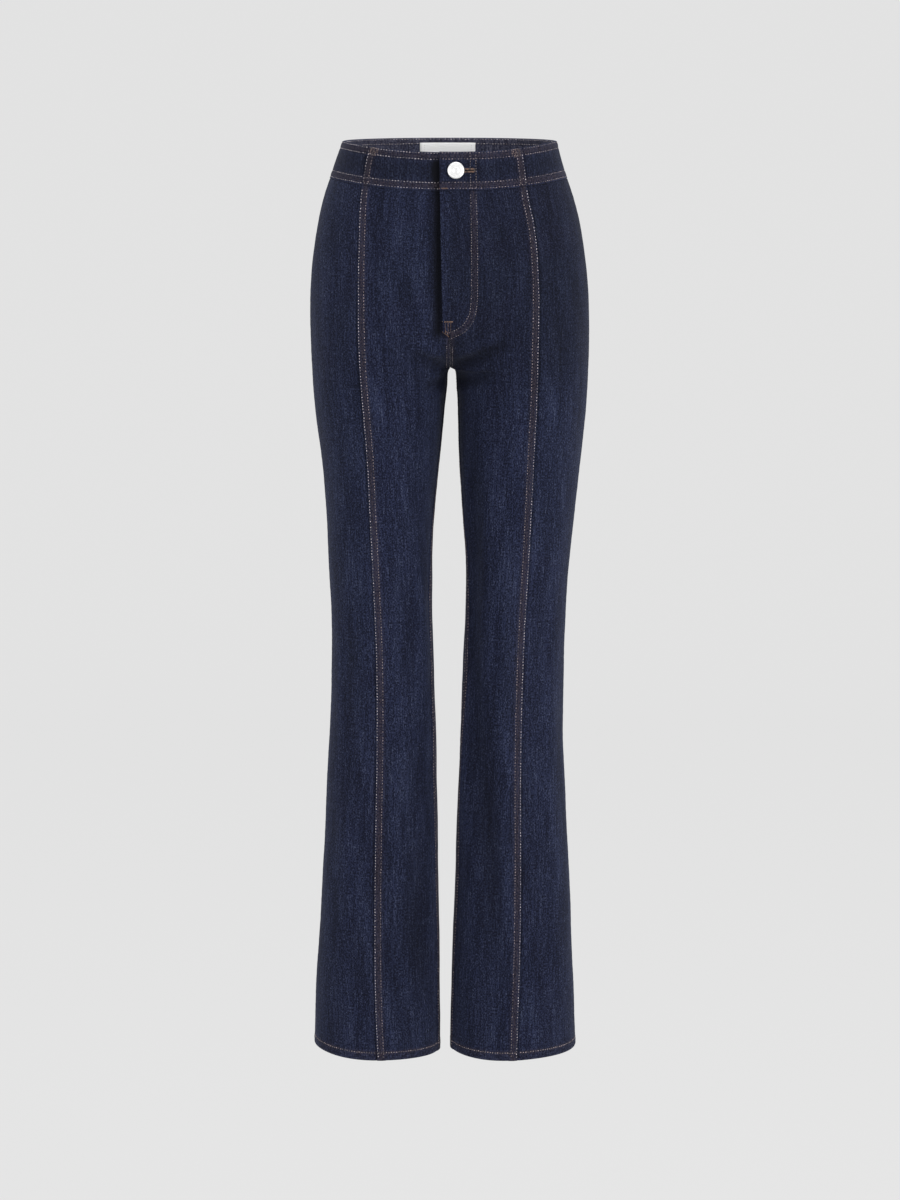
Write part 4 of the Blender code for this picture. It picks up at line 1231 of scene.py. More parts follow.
def band_relief(arc, seam_at):
    """The band's surface across its height: drawn down along its rows, rounded at its folds."""
    rows = sum(-0.30 * bump(depth, r, 0.75) for r in BAND_ROWS)
    swell = 0.16 * bump(depth, 4.85, 2.3) * (1 + 0.8 * pucker(None, arc, 0.2)) + 0.22 * bump(depth, 21, 9)
    swell = swell + 0.16 * bump(depth, 37.35, 2.3) * (1 + 0.8 * pucker(None, arc, 1.4))
    soft = 0.22 * np.sin(arc * 0.051 + 0.6) * bump(depth, 21, 13)
    return rows + swell + soft


band_outer, band_inner, band_tone, band_uv = {}, {}, {}, {}
for side, sign in SIDES.items():
    g, nv, arcs = BGRID[side], BNORMAL[side], BARCS[side]
    run = arcs + (0 if side == "left" else 57)
    top_arcs = arcs[0] - arcs[0, 0]
    move = band_face + sign * 1.8 * near_centre(top_arcs, 14, 48) * (top_arcs < 60)
    outside = move[None] + band_relief(run, None)
    inside = move[None] - BAND - (0.5 * band_relief(run + 31, None) - 0.05)
    for distance, radius in ((depth, 1.15), (BAND_HEIGHT - depth, 0.75)):
        outside = outside - rounding(distance, radius)
        inside = inside + rounding(distance, radius) * 0.9
    band_outer[side], band_inner[side] = g + nv * outside[..., None], g + nv * inside[..., None]
    tint = 0.9 * bump(depth, 4.85, 3.4) + 0.9 * bump(depth, 37.35, 3.4) + 0 * arcs
    fade_and_shade = 0.10 * bump(depth, 0.3, 1.4) + 0.07 * bump(depth, 42.4, 1.4) - 0.20 * bump(depth, 21, 18) + 0 * arcs
    band_tone[side] = (tint, fade_and_shade)
    band_uv[side] = np.stack([sign * arcs * MM, np.repeat(BAND_LEVELS[:, None], arcs.shape[1], 1) * MM], -1)

band_bend = {}
for side, sign in SIDES.items():
    c0, c1, c2, c3 = BSEAMS[side]
    for name, a, b in (("band_centre", c0, c1), ("band_side", c1, c2)):
        sl = slice(a, b + 1)
        outer, inner = band_outer[side][:, sl].copy(), band_inner[side][:, sl].copy()
        N, s = BNORMAL[side][:, sl], BARCS[side][:, sl]
        uv = band_uv[side][:, sl]
        tint, fade_and_shade = (x[:, sl].copy() for x in band_tone[side])
        t_in, t_out = s - s[:, [0]], s[:, [-1]] - s
        if name == "band_centre":
            ends = ease(depth / 1.2) * ease((BAND_HEIGHT - depth) / 1.0)
            extra = lapped(t_out, depth + 0 * s, 0.5, 0.6) * ends - rounding(t_out, 0.8) * 0.8
            tint += bump(t_out, 5.0, 3.8)
            fade_and_shade += 0.12 * bump(t_out, 0.4, 1.0)
            # painted shadow beside the fly's edge on the waistband, where the overlap shades it
            if side == "right":
                fade_and_shade += -0.34 * bump(t_in, 13.5, 8) * ease((depth - 7) / 5)
        else:
            extra = lapped_side(t_in, depth + 0 * s, 0.5) - rounding(t_in, 0.4) * 0.7
            extra = extra + plain_side(t_out, depth + 0 * s, 0.5) * 0.6
        outer = outer + N * extra[..., None]
        for layer in (outer, inner):
            for end, nxt in ((0, 1), (-1, -2)):
                if name == "band_centre" and end == 0:
                    continue
                way = layer[:, nxt] - layer[:, end]
                layer[:, end] += 0.02 * way / np.linalg.norm(way, axis=1, keepdims=True)
        tone, tone_in = cast(tint, fade_and_shade), cast(0.4 * tint, 0 * fade_and_shade)
        skip = None
        if name == "band_centre":
            other = "left" if side == "right" else "right"
            if side == "left":
                full = np.array([11.8, 11.6, 11.0, 10.1, 8.8, 7.2, 5.4, 3.5, 1.7])
                shift, edge = band_face + 1.8, None
            else:
                full = np.array([30, 29.6, 28.6, 26, 23, 20, 16.5, 13, 9.5, 6, 3])
                shift = -1.5
            lap_p, lap_n = [], []
            for i, level in enumerate(BAND_LEVELS):
                sec = section(other, level)
                arc = arc_of(sec, full)
                lap_p.append(at(sec, arc))
                j = np.interp(arc, BARCS[other][i], np.arange(BARCS[other].shape[1]))
                lo = np.floor(j).astype(int)
                f = (j - lo)[:, None]
                lap_n.append(BNORMAL[other][i][lo] * (1 - f) + BNORMAL[other][i][lo + 1] * f)
            lap_p, lap_n = np.array(lap_p), np.array(lap_n)
            edge = (full[0] - full)[None, :]
            gap_open = 0.7 * bump(-full, -12, 9)[None, :] if side == "left" else 0 * full[None]
            relief = band_relief(-np.repeat(full[None], len(BAND_LEVELS), 0), None)
            lap_out = shift + gap_open + relief - rounding(edge, 1.0) * 0.95
            lap_in = shift + gap_open - BAND + rounding(edge, 1.0) * 0.95
            for distance, radius in ((depth, 1.15), (BAND_HEIGHT - depth, 0.75)):
                lap_out = lap_out - rounding(distance, radius)
                lap_in = lap_in + rounding(distance, radius) * 0.9
            if side == "right":
                # the band dips under the overlap before it reaches the middle plane
                dip = (shift - band_face + 1.8) * near_centre(t_in, 0, 9)
                outer = outer + N * dip[..., None]
                inner = inner + N * dip[..., None]
            outer = np.concatenate([lap_p + lap_n * lap_out[..., None], outer], 1)
            inner = np.concatenate([lap_p + lap_n * lap_in[..., None], inner], 1)
            lap_uv = np.stack([-sign * np.repeat(full[None], len(BAND_LEVELS), 0) * MM, np.repeat(BAND_LEVELS[:, None], len(full), 1) * MM], -1)
            uv = np.concatenate([lap_uv, uv], 1)
            lap_tint = 0.9 * bump(depth, 4.85, 3.4) + 0.9 * bump(depth, 37.35, 3.4) + 0 * edge
            lap_fade = 0.05 * bump(edge, 0.6, 1.5) + 0.05 * bump(depth, 0.5, 1.6) - 0.13 * bump(depth, 21, 18)
            tone = np.concatenate([cast(lap_tint, lap_fade), tone], 1)
            tone_in = np.concatenate([cast(0.4 * lap_tint, 0 * lap_fade), tone_in], 1)
            if side == "left":
                k = len(full)
                skip = np.zeros((outer.shape[0] - 1, outer.shape[1] - 1), bool)
                lows, highs = depth[:-1, 0], depth[1:, 0]
                xs, xe = s[0, :-1] - s[0, 0], s[0, 1:] - s[0, 0]
                eye_rows = (lows >= -BUTTON_LEVEL - EYE[2] - 0.01) & (highs <= -BUTTON_LEVEL + EYE[2] + 0.01)
                eye_cols = (xs >= EYE[0] - 0.05) & (xe <= EYE[1] + 0.05)
                slit_rows = (lows >= -BUTTON_LEVEL - SLIT[1] - 0.01) & (highs <= -BUTTON_LEVEL + SLIT[1] + 0.01)
                slit_cols = (xs >= EYE[1] - 0.05) & (xe <= SLIT[0] + 0.05)
                skip[np.ix_(np.nonzero(eye_rows)[0], k + np.nonzero(eye_cols)[0])] = True
                skip[np.ix_(np.nonzero(slit_rows)[0], k + np.nonzero(slit_cols)[0])] = True
        piece = f"{name}_{side}"
        shell(piece, outer, inner, uv, tone, tone_in, [DENIM_FACE, DENIM_FACING_PAINTED_LIGHT], side == "left", skip)
        surface[piece] = outer
        surface[piece + "_inner"] = inner
        mid = (outer[:-1, :-1] - outer[1:, 1:]), (outer[:-1, 1:] - outer[1:, :-1])
        face_area[piece] = float((np.linalg.norm(np.cross(*mid), axis=2) / 2).sum()) * 1e-6

# the back, from side seam to side seam, wearer's left to right
lc, rc = BSEAMS["left"][2], BSEAMS["right"][2]


def joined(left, right):
    return np.concatenate([left[:, lc:], right[:, rc:-1][:, ::-1]], 1)


outer, inner = joined(band_outer["left"], band_outer["right"]), joined(band_inner["left"], band_inner["right"])
back_normal = joined(BNORMAL["left"], BNORMAL["right"])
steps = np.concatenate([[0], np.cumsum(np.linalg.norm(np.diff(outer[0], axis=0), axis=1))])
t_in, t_out = steps[None], steps[-1] - steps[None]
extra = (plain_side(t_in, depth + 0 * t_in, 0.5) + plain_side(t_out, depth + 0 * t_in, 0.9)) * 0.6
outer = outer + back_normal * extra[..., None]
for layer in (outer, inner):
    for end, nxt in ((0, 1), (-1, -2)):
        way = layer[:, nxt] - layer[:, end]
        layer[:, end] += 0.02 * way / np.linalg.norm(way, axis=1, keepdims=True)
tint, fade_and_shade = (joined(band_tone["left"][q], band_tone["right"][q]) for q in (0, 1))
back_uv = np.stack([np.repeat(steps[None], len(BAND_LEVELS), 0) * MM, np.repeat(BAND_LEVELS[:, None], len(steps), 1) * MM], -1)
shell("band_back", outer, inner, back_uv, cast(tint, fade_and_shade), cast(0.4 * tint, 0.25 * bump(depth, 0, 2) + 0 * fade_and_shade), [DENIM_FACE, DENIM_FACING_PAINTED_LIGHT], True)
surface["band_back"], surface["band_back_inner"] = outer, inner
mid = (outer[:-1, :-1] - outer[1:, 1:]), (outer[:-1, 1:] - outer[1:, :-1])
face_area["band_back"] = float((np.linalg.norm(np.cross(*mid), axis=2) / 2).sum()) * 1e-6

# ---------------------------------------------------------------- the label

label_arcs = {s: np.linspace(0, LABEL_REACH[s], 14) for s in SIDES}
label_depth = np.array([5.5, 5.7, 6.2, 8, 11, 14, 17, 20, 23, 26, 26.9, 27.3, 27.5])
rows_out, rows_n = [], []
for d in label_depth:
    pts, nrm = [], []
    for s, order in (("left", -1), ("right", 1)):
        sec = section(s, -d)
        spots = arc_of(sec, label_arcs[s], True)
        p = at(sec, spots)
        q = likewise(s, -d, spots, -5) - likewise(s, -d, spots, 5)
        a = at(sec, np.minimum(spots + 3, sec[1][-1])) - at(sec, spots - 3)
        n = np.cross(a, q) * -SIDES[s]
        n /= np.linalg.norm(n, axis=1, keepdims=True)
        if order == -1:
            pts.append(p[::-1]), nrm.append(n[::-1])
        else:
            pts.append(p[1:]), nrm.append(n[1:])
    rows_out.append(np.concatenate(pts))
    rows_n.append(np.concatenate(nrm))
base, nrm = np.array(rows_out), np.array(rows_n)
nrm[:, 12:15] = nrm[:, 12:15].mean(1, keepdims=True)
width_at = np.concatenate([[0], np.cumsum(np.linalg.norm(np.diff(base[0], axis=0), axis=1))])[None]
from_edge = np.minimum(np.minimum(width_at, width_at[:, -1:] - width_at), np.minimum(label_depth - 5.5, 27.5 - label_depth)[:, None])
lift = band_face - BAND - 0.35 - 0.28 * (1 - np.exp(-from_edge / 2.5)) - 0.12 * np.sin(width_at * 0.12)
thin = 0.62
inner_side = base + nrm * (lift - thin + rounding(from_edge, 0.3) * 0.8)[..., None]
outer_side = base + nrm * lift[..., None]
label_uv = np.stack([np.repeat(width_at, len(label_depth), 0) * MM, -np.repeat(label_depth[:, None], base.shape[1], 1) * MM], -1)
grey = cast(0 * lift, 0 * lift)
shell("label", outer_side, inner_side, label_uv, grey, grey, [LABEL_CLOTH], True)
surface["label"] = inner_side
mid = (inner_side[:-1, :-1] - inner_side[1:, 1:]), (inner_side[:-1, 1:] - inner_side[1:, :-1])
face_area["label"] = float((np.linalg.norm(np.cross(*mid), axis=2) / 2).sum()) * 1e-6

# ---------------------------------------------------------------- stitching

PITCH = 3.5


def tree_of(*names):
    """A search tree over these surfaces."""
    points, faces = [], []
    count = 0
    for name in names:
        g = surface[name]
        n, m = g.shape[:2]
        index = np.arange(n * m).reshape(n, m) + count
        quads = np.stack([index[:-1, :-1], index[:-1, 1:], index[1:, 1:], index[1:, :-1]], -1).reshape(-1, 4)
        points.append(g.reshape(-1, 3))
        faces.append(quads)
        count += n * m
    points, faces = np.concatenate(points), np.concatenate(faces)
    return BVHTree.FromPolygons(points.tolist(), faces.tolist())


def walk(points, pitch, start=0.5, stop=0.5):
    """Even places along a line, with the way it runs there."""
    points = np.asarray(points, float)
    t = np.concatenate([[0], np.cumsum(np.linalg.norm(np.diff(points, axis=0), axis=1))])
    count = int((t[-1] - (start + stop) * pitch * 0.5) / pitch)
    if count < 1:
        return np.zeros((0, 3)), np.zeros((0, 3))
    spare = t[-1] - count * pitch
    spots = spare / 2 + (np.arange(count) + 0.5) * pitch
    place = np.stack([np.interp(spots, t, points[:, c]) for c in range(3)], 1)
    ahead = np.stack([np.interp(np.minimum(spots + 0.8, t[-1]), t, points[:, c]) for c in range(3)], 1)
    behind = np.stack([np.interp(np.maximum(spots - 0.8, 0), t, points[:, c]) for c in range(3)], 1)
    way = ahead - behind
    return place, way / np.linalg.norm(way, axis=1, keepdims=True)


def stitch_shape(length, radius, lift, sink, sides=5):
    """One stitch: a short length of thread that comes up, lies on the cloth and goes down."""
    rings = [(-0.32, 0.92, 0.45), (0.0, 1.0, 1.0), (0.32, 0.92, 0.45)]
    points = [(-length / 2, 0, -sink)]
    for x, r, h in rings:
        for q in range(sides):
            a = 2 * math.pi * q / sides + 0.3
            points.append((x * length, r * radius * 1.08 * math.cos(a), lift * h + r * radius * 0.85 * math.sin(a)))
    points.append((length / 2, 0, -sink))
    faces = []
    last = len(points) - 1
    for q in range(sides):
        p = (q + 1) % sides
        faces.append((0, 1 + p, 1 + q))
        faces.append((last, 1 + 2 * sides + q, 1 + 2 * sides + p))
        for ring in (0, 1):
            a, b = 1 + ring * sides, 1 + (ring + 1) * sides
            faces.append((a + q, a + p, b + p))
            faces.append((a + q, b + p, b + q))
    return np.array(points, float), np.array(faces, int)


class Sewing:
    """Collects stitches for one object."""

    def __init__(self, name, material):
        self.name, self.material = name, material
        self.points, self.faces, self.count = [], [], 0

    def put(self, place, way, up, length, radius, lift=0.10, sink=0.45, wander=0.12, seed=0):
        place, way, up = (np.asarray(x, float) for x in (place, way, up))
        if not len(place):
            return
        rng = np.random.default_rng(seed + 17)
        shape, faces = stitch_shape(length, radius, lift, sink)
        across = np.cross(up, way)
        across /= np.linalg.norm(across, axis=1, keepdims=True)
        along = np.cross(across, up)
        turn = rng.normal(0, 0.05, len(place))[:, None]
        along, across = along + across * turn, across - along * turn
        place = place + across * rng.normal(0, wander, len(place))[:, None]
        size = rng.uniform(0.84, 1.1, len(place))
        pts = (
            place[:, None]
            + along[:, None] * (shape[None, :, 0, None] * size[:, None, None])
            + across[:, None] * shape[None, :, 1, None]
            + up[:, None] * shape[None, :, 2, None]
        )
        n = len(shape)
        offs = self.count + np.arange(len(place))[:, None, None] * n
        self.points.append(pts.reshape(-1, 3))
        self.faces.append((faces[None] + offs).reshape(-1, 3))
        self.count += n * len(place)

    def finish(self):
        points, faces = np.concatenate(self.points), np.concatenate(self.faces)
        return from_lists(self.name, points, faces.tolist(), self.material)


def on_surface(tree, points, outward=None):
    """These points moved on to the surface, with its direction there."""
    spots, ups = [], []
    for p in points:
        hit = tree.find_nearest(Vector(p))
        spots.append(hit[0][:])
        ups.append(hit[1][:])
    return np.array(spots), np.array(ups)


def row(sewing, tree, line, inward=False, pitch=PITCH, length=2.0, radius=0.33, centre=None, seed=0, lift=0.10):
    """A row of stitches along a line close to a surface."""
    line = np.asarray(line, float)
    spots, _ = on_surface(tree, line)
    place, way = walk(spots, pitch)
    if not len(place):
        return
    place, up = on_surface(tree, place)
    # the surface's own faces may point either way: turn them to the side that is wanted
    away = place - centre_of(place)
    flip = np.sign((up * away).sum(1))
    flip[flip == 0] = 1
    up = up * flip[:, None] * (-1 if inward else 1)
    up[1:-1] = (up[:-2] + up[1:-1] + up[2:]) / 3
    up /= np.linalg.norm(up, axis=1, keepdims=True)
    sewing.put(place, way, up, length, radius, lift=lift, seed=seed)


def centre_of(place):
    """The middle of the garment's hollow at these points."""
    c = np.zeros_like(place)
    leg = place[:, 2] < CROTCH - 4
    c[:, 2] = place[:, 2]
    c[leg, 0] = np.sign(place[leg, 0]) * 80
    shoulder = (place[:, 2] < CROTCH + 60) & ~leg
    c[shoulder, 2] = place[shoulder, 2] + 70
    return c


def column_line(piece, offset, first, last, end="out"):
    """The line at a distance in from a panel's edge, down its own rows."""
    g = surface[piece]
    out = []
    for i in range(g.shape[0]):
        pts = g[i] if end == "in" else g[i, ::-1]
        t = np.concatenate([[0], np.cumsum(np.linalg.norm(np.diff(pts, axis=0), axis=1))])
        out.append([np.interp(offset, t, pts[:, c]) for c in range(3)])
    out = np.array(out)
    levels = BAND_LEVELS if piece.startswith("band") else LEVELS
    return out[(levels <= first) & (levels >= last)]


sewing = {}
body_trees = {p: tree_of(p) for p in surface if not p.endswith("inner")}
hem_row = HEM_LEVEL + 10

for side, sign in SIDES.items():
    front, band_c = f"front_centre_{side}", f"band_centre_{side}"
    for k, off in enumerate(ROWS_AT):
        long_row = Sewing(f"stitch_front_seam_{side}_{k + 1}", (THREAD, THREAD_WORN)[k])
        row(long_row, body_trees[front], column_line(front, off, -44.5, HEM_LEVEL + 1.8), seed=10 + k)
        row(long_row, body_trees[band_c], column_line(band_c, off, -1.6, -42.4), seed=20 + k)
        long_row.finish()
    inner_rows = Sewing(f"stitch_inner_leg_{side}", THREAD_WORN)
    for k, off in enumerate(ROWS_AT):
        if side == "left":
            g = surface[front]
            surface["plain_front_left"] = g[:, 9:]
            line = column_line("plain_front_left", off, CROTCH - 9, HEM_LEVEL + 1.8, "in")
        else:
            line = column_line(front, off, CROTCH - 9, HEM_LEVEL + 1.8, "in")
        row(inner_rows, body_trees[front], line, seed=30 + k)
    inner_rows.finish()
    hem = Sewing(f"stitch_hem_{side}", THREAD_WORN)
    for piece in (f"front_centre_{side}", f"front_side_{side}", f"back_{side}"):
        g = surface[piece][:, 9:] if piece == "front_centre_left" else surface[piece]
        i = int(np.argmin(np.abs(LEVELS - hem_row)))
        row(hem, body_trees[piece], g[i], seed=40 + len(piece), pitch=3.1, radius=0.46)
    hem.finish()

# the centre back seam
back_rows = Sewing("stitch_back_seam", THREAD)
for k, off in enumerate(ROWS_AT):
    row(back_rows, body_trees["back_left"], column_line("back_left", off, -44.5, CROTCH + 6), seed=50 + k)
back_rows.finish()

# the rows round the waistband, outside and inside
band_rows = Sewing("stitch_waistband", THREAD)
worn_rows = Sewing("stitch_waistband_left", THREAD_WORN)
inside_rows = Sewing("stitch_waistband_inside", THREAD)
inner_trees = {p: tree_of(p) for p in surface if p.endswith("inner")}
for k, d in enumerate(BAND_ROWS):
    i = int(np.argmin(np.abs(BAND_LEVELS + d)))
    i_in = int(np.argmin(np.abs(BAND_LEVELS + (6.6 if d == 8.2 else d))))  # the cloth's bend carries it higher inside
    for q, piece in enumerate(("band_centre_left", "band_side_left", "band_back", "band_side_right", "band_centre_right")):
        line = surface[piece][i]
        if piece == "band_centre_right":
            line = line[11:]
        row(worn_rows if piece in ("band_centre_left", "band_side_left") else band_rows, body_trees[piece], line, seed=60 + 7 * k + q)
        line = surface[piece + "_inner"][i_in]
        if piece == "band_centre_right":
            line = line[11:]
        row(inside_rows, inner_trees[piece + "_inner"], line, inward=True, seed=160 + 7 * k + q, radius=0.4)
band_rows.finish()
worn_rows.finish()
inside_rows.finish()


def front_point(x, z):
    """The point of the front at this distance from the middle plane and this height."""
    side = "left" if x >= 0 else "right"
    sec = section(side, level_at(side, x, z), 90)
    return at(sec, arc_of(sec, [abs(x)]))[0]


# the fly's curved rows, from the waistband's top edge down
fly_rows = Sewing("stitch_fly", THREAD_FLY)
for k, line in enumerate(FLY_LINES):
    pts = [front_point(x, z) for x, z in line if z < -58.6]
    row(fly_rows, body_trees["front_centre_left"], pts, seed=80 + k, pitch=3.0)
    x0 = line[0][0]
    pts = [front_point(x0 - 0.9 * (z + 57) / 42, z) for z in np.linspace(-15.2, -56.8, 24)]
    row(fly_rows, body_trees["band_centre_left"], pts, seed=84 + k, pitch=3.0)
# the seam below it, one row each side
for side, sign in SIDES.items():
    lows = LEVELS[(LEVELS < FLY_END - 13) & (LEVELS > CROTCH + 0.6)]
    away = 4.0 if side == "right" else 2.6
    pts = [at(section(side, lv, 90), arc_of(section(side, lv, 90), [away]))[0] for lv in lows]
    row(fly_rows, body_trees[f"front_centre_{side}"], pts, seed=90 + sign)
fly_rows.finish()


def bar(sewing, tree, a, b, width, pitch=0.62, radius=0.30, seed=0):
    """A bar tack from a to b: threads laid closely across it."""
    a, b = np.array(a, float), np.array(b, float)
    n = max(int(np.linalg.norm(b - a) / pitch), 2)
    pts = a + (b - a) * ((np.arange(n) + 0.5) / n)[:, None]
    pts, up = on_surface(tree, pts)
    flip = np.sign((up * (pts - centre_of(pts))).sum(1))
    up = up * flip[:, None]
    way = (b - a) / np.linalg.norm(b - a)
    across = np.cross(up, way)
    across /= np.linalg.norm(across, axis=1, keepdims=True)
    sewing.put(pts + up * 0.12, across, up, width, radius, lift=0.22, sink=0.35, wander=0.05, seed=seed)


tacks = Sewing("tacks", COPPER)
fc, bc = body_trees["front_centre_left"], body_trees["band_centre_left"]
# at the fly's foot: a bar across, one down beside the edge, and the end of the curved rows
bar(tacks, fc, front_point(-7.2, -205.3), front_point(3.6, -205.3), 1.9, seed=1)
bar(tacks, fc, front_point(-2.2, -206.6), front_point(-2.2, -217.4), 1.1, pitch=1.5, seed=2)
bar(tacks, fc, front_point(-5.2, -206.6), front_point(-5.2, -218.4), 1.1, pitch=1.5, seed=3)
bar(tacks, fc, front_point(0.8, -206.6), front_point(0.8, -216.4), 1.1, pitch=1.5, seed=13)
bar(tacks, fc, front_point(-8.2, -217.4), front_point(-7.0, -221.6), 1.3, pitch=0.9, seed=4)
bar(tacks, fc, front_point(-7.4, -221.8), front_point(-0.4, -222.6), 1.6, seed=5)
bar(tacks, fc, front_point(-2.4, -217.0), front_point(-2.4, -222.0), 1.3, pitch=0.9, seed=6)
bar(tacks, fc, front_point(-5.0, -217.4), front_point(-5.0, -221.6), 1.3, pitch=0.9, seed=16)
bar(tacks, fc, front_point(-8.0, -217.2), front_point(-3.4, -216.6), 1.1, pitch=0.8, seed=17)
# at the fly's edge, on the waistband's lower fold
bar(tacks, bc, front_point(-11.6, -55.6), front_point(-3.0, -55.6), 1.9, seed=7)
tacks.finish()
# the squares where the long seams' rows end at the waistband's top
squares = Sewing("tack_squares", RUST)
for side in SIDES:
    piece = f"band_centre_{side}"
    tree = body_trees[piece]
    lo_, hi_ = (column_line(piece, off, 0, -10) for off in (4.2, 14.0))
    levels = BAND_LEVELS[(BAND_LEVELS <= 0) & (BAND_LEVELS >= -10)]

    def spot(share, down):
        a = [np.interp(-down, levels[::-1], lo_[::-1, c]) for c in range(3)]
        b = [np.interp(-down, levels[::-1], hi_[::-1, c]) for c in range(3)]
        return np.array(a) * (1 - share) + np.array(b) * share

    zig = []
    for q in range(7):
        zig.append(spot(q / 6, 1.4 if q % 2 else 8.8))
    line = np.concatenate([np.linspace(a, b, 6, endpoint=False) for a, b in zip(zig[:-1], zig[1:])])
    row(squares, tree, line, pitch=2.3, length=1.9, radius=0.34, seed=100)
    for q, (a, b) in enumerate((((0.0, 0.9), (0.0, 9.4)), ((1.0, 0.9), (1.0, 9.4)), ((0.0, 1.2), (1.0, 1.2)), ((0.0, 9.3), (1.0, 9.3)))):
        row(squares, tree, np.linspace(spot(*a), spot(*b), 8), pitch=2.3, length=1.9, radius=0.34, seed=104 + q)
squares.finish()

# the buttonhole: threads laid closely round its eye and along its slit, and a bar at its end
hole = Sewing("buttonhole_thread", COPPER_HOLE)


def band_point(x, down):
    sec = section("left", BUTTON_LEVEL - down, 90)
    return at(sec, arc_of(sec, [x]))[0]


outline = []
mid_x, eye_r = (EYE[0] + EYE[1]) / 2, (EYE[1] - EYE[0]) / 2
for a in np.linspace(0.42 * math.pi / 2, 2 * math.pi - 0.42 * math.pi / 2, 40):
    outline.append((mid_x + (eye_r + 0.9) * math.cos(a), (EYE[2] + 0.9) * math.sin(a)))
low_end = [(x, -1.5) for x in np.linspace(EYE[1] + 1.4, 26.2, 38)]
high_end = [(x, 1.5) for x in np.linspace(EYE[1] + 1.4, 26.2, 38)]
for seed, ring in ((1, outline), (2, low_end), (3, high_end)):
    pts = np.array([band_point(x, d) for x, d in ring])
    t = np.concatenate([[0], np.cumsum(np.linalg.norm(np.diff(pts, axis=0), axis=1))])
    n = int(t[-1] / 0.5)
    pts = np.stack([np.interp(np.linspace(0, t[-1], n), t, pts[:, c]) for c in range(3)], 1)
    spots, up = on_surface(bc, pts)
    up = up * np.sign((up * (spots - centre_of(spots))).sum(1))[:, None]
    way = np.gradient(pts, axis=0)
    across = np.cross(up, way)
    across /= np.linalg.norm(across, axis=1, keepdims=True)
    hole.put(pts + up * (band_face + 1.8 + 0.25), across, up, 2.5, 0.30, lift=0.2, sink=0.4, wander=0.04, seed=200 + seed)
bar(hole, bc, band_point(27.4, -2.0), band_point(27.4, 2.0), 2.3, pitch=0.5, seed=210)
hole.finish()

# the label's edge stitching
label_rows = Sewing("stitch_label", thread("thread_white", (0.80, 0.80, 0.79), (0.62, 0.62, 0.61)))
label_tree = tree_of("label")
for line in (inner_side[:, 2], inner_side[:, -3]):
    row(label_rows, label_tree, line[1:-1], inward=True, pitch=2.4, length=1.8, radius=0.2, seed=300)
label_rows.finish()

# ---------------------------------------------------------------- button

sec = section("left", BUTTON_LEVEL)
low_sec, high_sec = section("left", BUTTON_LEVEL - 3), section("left", BUTTON_LEVEL + 3)
spot = at(sec, [BUTTON_AT])[0]
along = at(sec, [BUTTON_AT + 4])[0] - at(sec, [BUTTON_AT - 4])[0]
up = at(high_sec, [BUTTON_AT])[0] - at(low_sec, [BUTTON_AT])[0]
out = np.cross(along, up)
out /= np.linalg.norm(out)
along = along / np.linalg.norm(along)
up = np.cross(out, along)
cap = 2.9
profile = [
    # radius, height over the band's surface: from the middle out, round the rim, down the shank
    (0.0, cap + 3.24), (0.9, cap + 3.26), (1.7, cap + 3.34), (2.3, cap + 3.46), (2.7, cap + 3.5), (3.1, cap + 3.36),
    (3.5, cap + 3.14), (3.9, cap + 3.06), (4.6, cap + 3.08), (5.6, cap + 3.06), (6.4, cap + 3.0), (6.9, cap + 2.86), (7.25, cap + 2.8), (7.7, cap + 3.0),
    (8.3, cap + 3.06), (8.8, cap + 2.86), (9.25, cap + 2.46), (9.56, cap + 1.96), (9.68, cap + 1.4), (9.64, cap + 0.9),
    (9.4, cap + 0.42), (9.0, cap + 0.14), (8.5, cap + 0.04), (7.2, cap + 0.1), (5.0, cap + 0.16), (3.4, cap + 0.14), (2.75, cap - 0.1),
    (2.5, cap - 0.5), (2.45, 1.4), (2.5, 0.2), (2.7, -0.6), (2.75, -1.15), (0.0, -1.15),
]
turns = 72
points, faces = [], []
for r, h in profile:
    if r == 0:
        points.append(spot + out * h)
    else:
        for q in range(turns):
            a = 2 * math.pi * q / turns
            points.append(spot + out * h + r * (along * math.cos(a) + up * math.sin(a)))
ring = lambda k: 1 + (k - 1) * turns
for q in range(turns):
    p = (q + 1) % turns
    faces.append((0, ring(1) + q, ring(1) + p))
    for k in range(1, len(profile) - 2):
        faces.append((ring(k) + q, ring(k + 1) + q, ring(k + 1) + p, ring(k) + p))
    k = len(profile) - 2
    faces.append((ring(k) + q, len(points) - 1, ring(k) + p))
from_lists("button", points, faces, SILVER)

# ---------------------------------------------------------------- zip

tape_rows = [lv for lv in LEVELS if FLY_END + 1 <= lv <= -62]
xs = np.array([-5.5, -4.5, -2.5, 0.0, 2.5, 4.6, 5.2, 8.0, 10.8, 11.4, 13.5, 16.5, 19.5, 20.6])
tape_out, tape_in, tape_n = [], [], []
for lv in tape_rows:
    pts, nn = [], []
    for x in xs:
        s = "left" if x >= 0 else "right"
        sec = section(s, lv, 90)
        arc = float(arc_of(sec, [abs(x)])[0])
        i = int(np.argmin(np.abs(LEVELS - lv)))
        j = np.interp(arc, ARCS[s][i], np.arange(ARCS[s].shape[1]))
        pts.append(at(sec, [arc])[0])
        nn.append(NORMAL[s][i][int(j)])
    tape_out.append(pts)
    tape_n.append(nn)
tape, tape_n = np.array(tape_out), np.array(tape_n)
i_rows = [int(np.argmin(np.abs(LEVELS - lv))) for lv in tape_rows]
depth_in = FLY_RISE + DENIM + SEAM_GAP + 1.6
tape_a = tape - tape_n * depth_in
tape_b = tape - tape_n * (depth_in + 0.7)
tape_uv = np.stack([np.repeat(xs[None], len(tape_rows), 0) * MM, np.repeat(np.array(tape_rows)[:, None], len(xs), 1) * MM], -1)
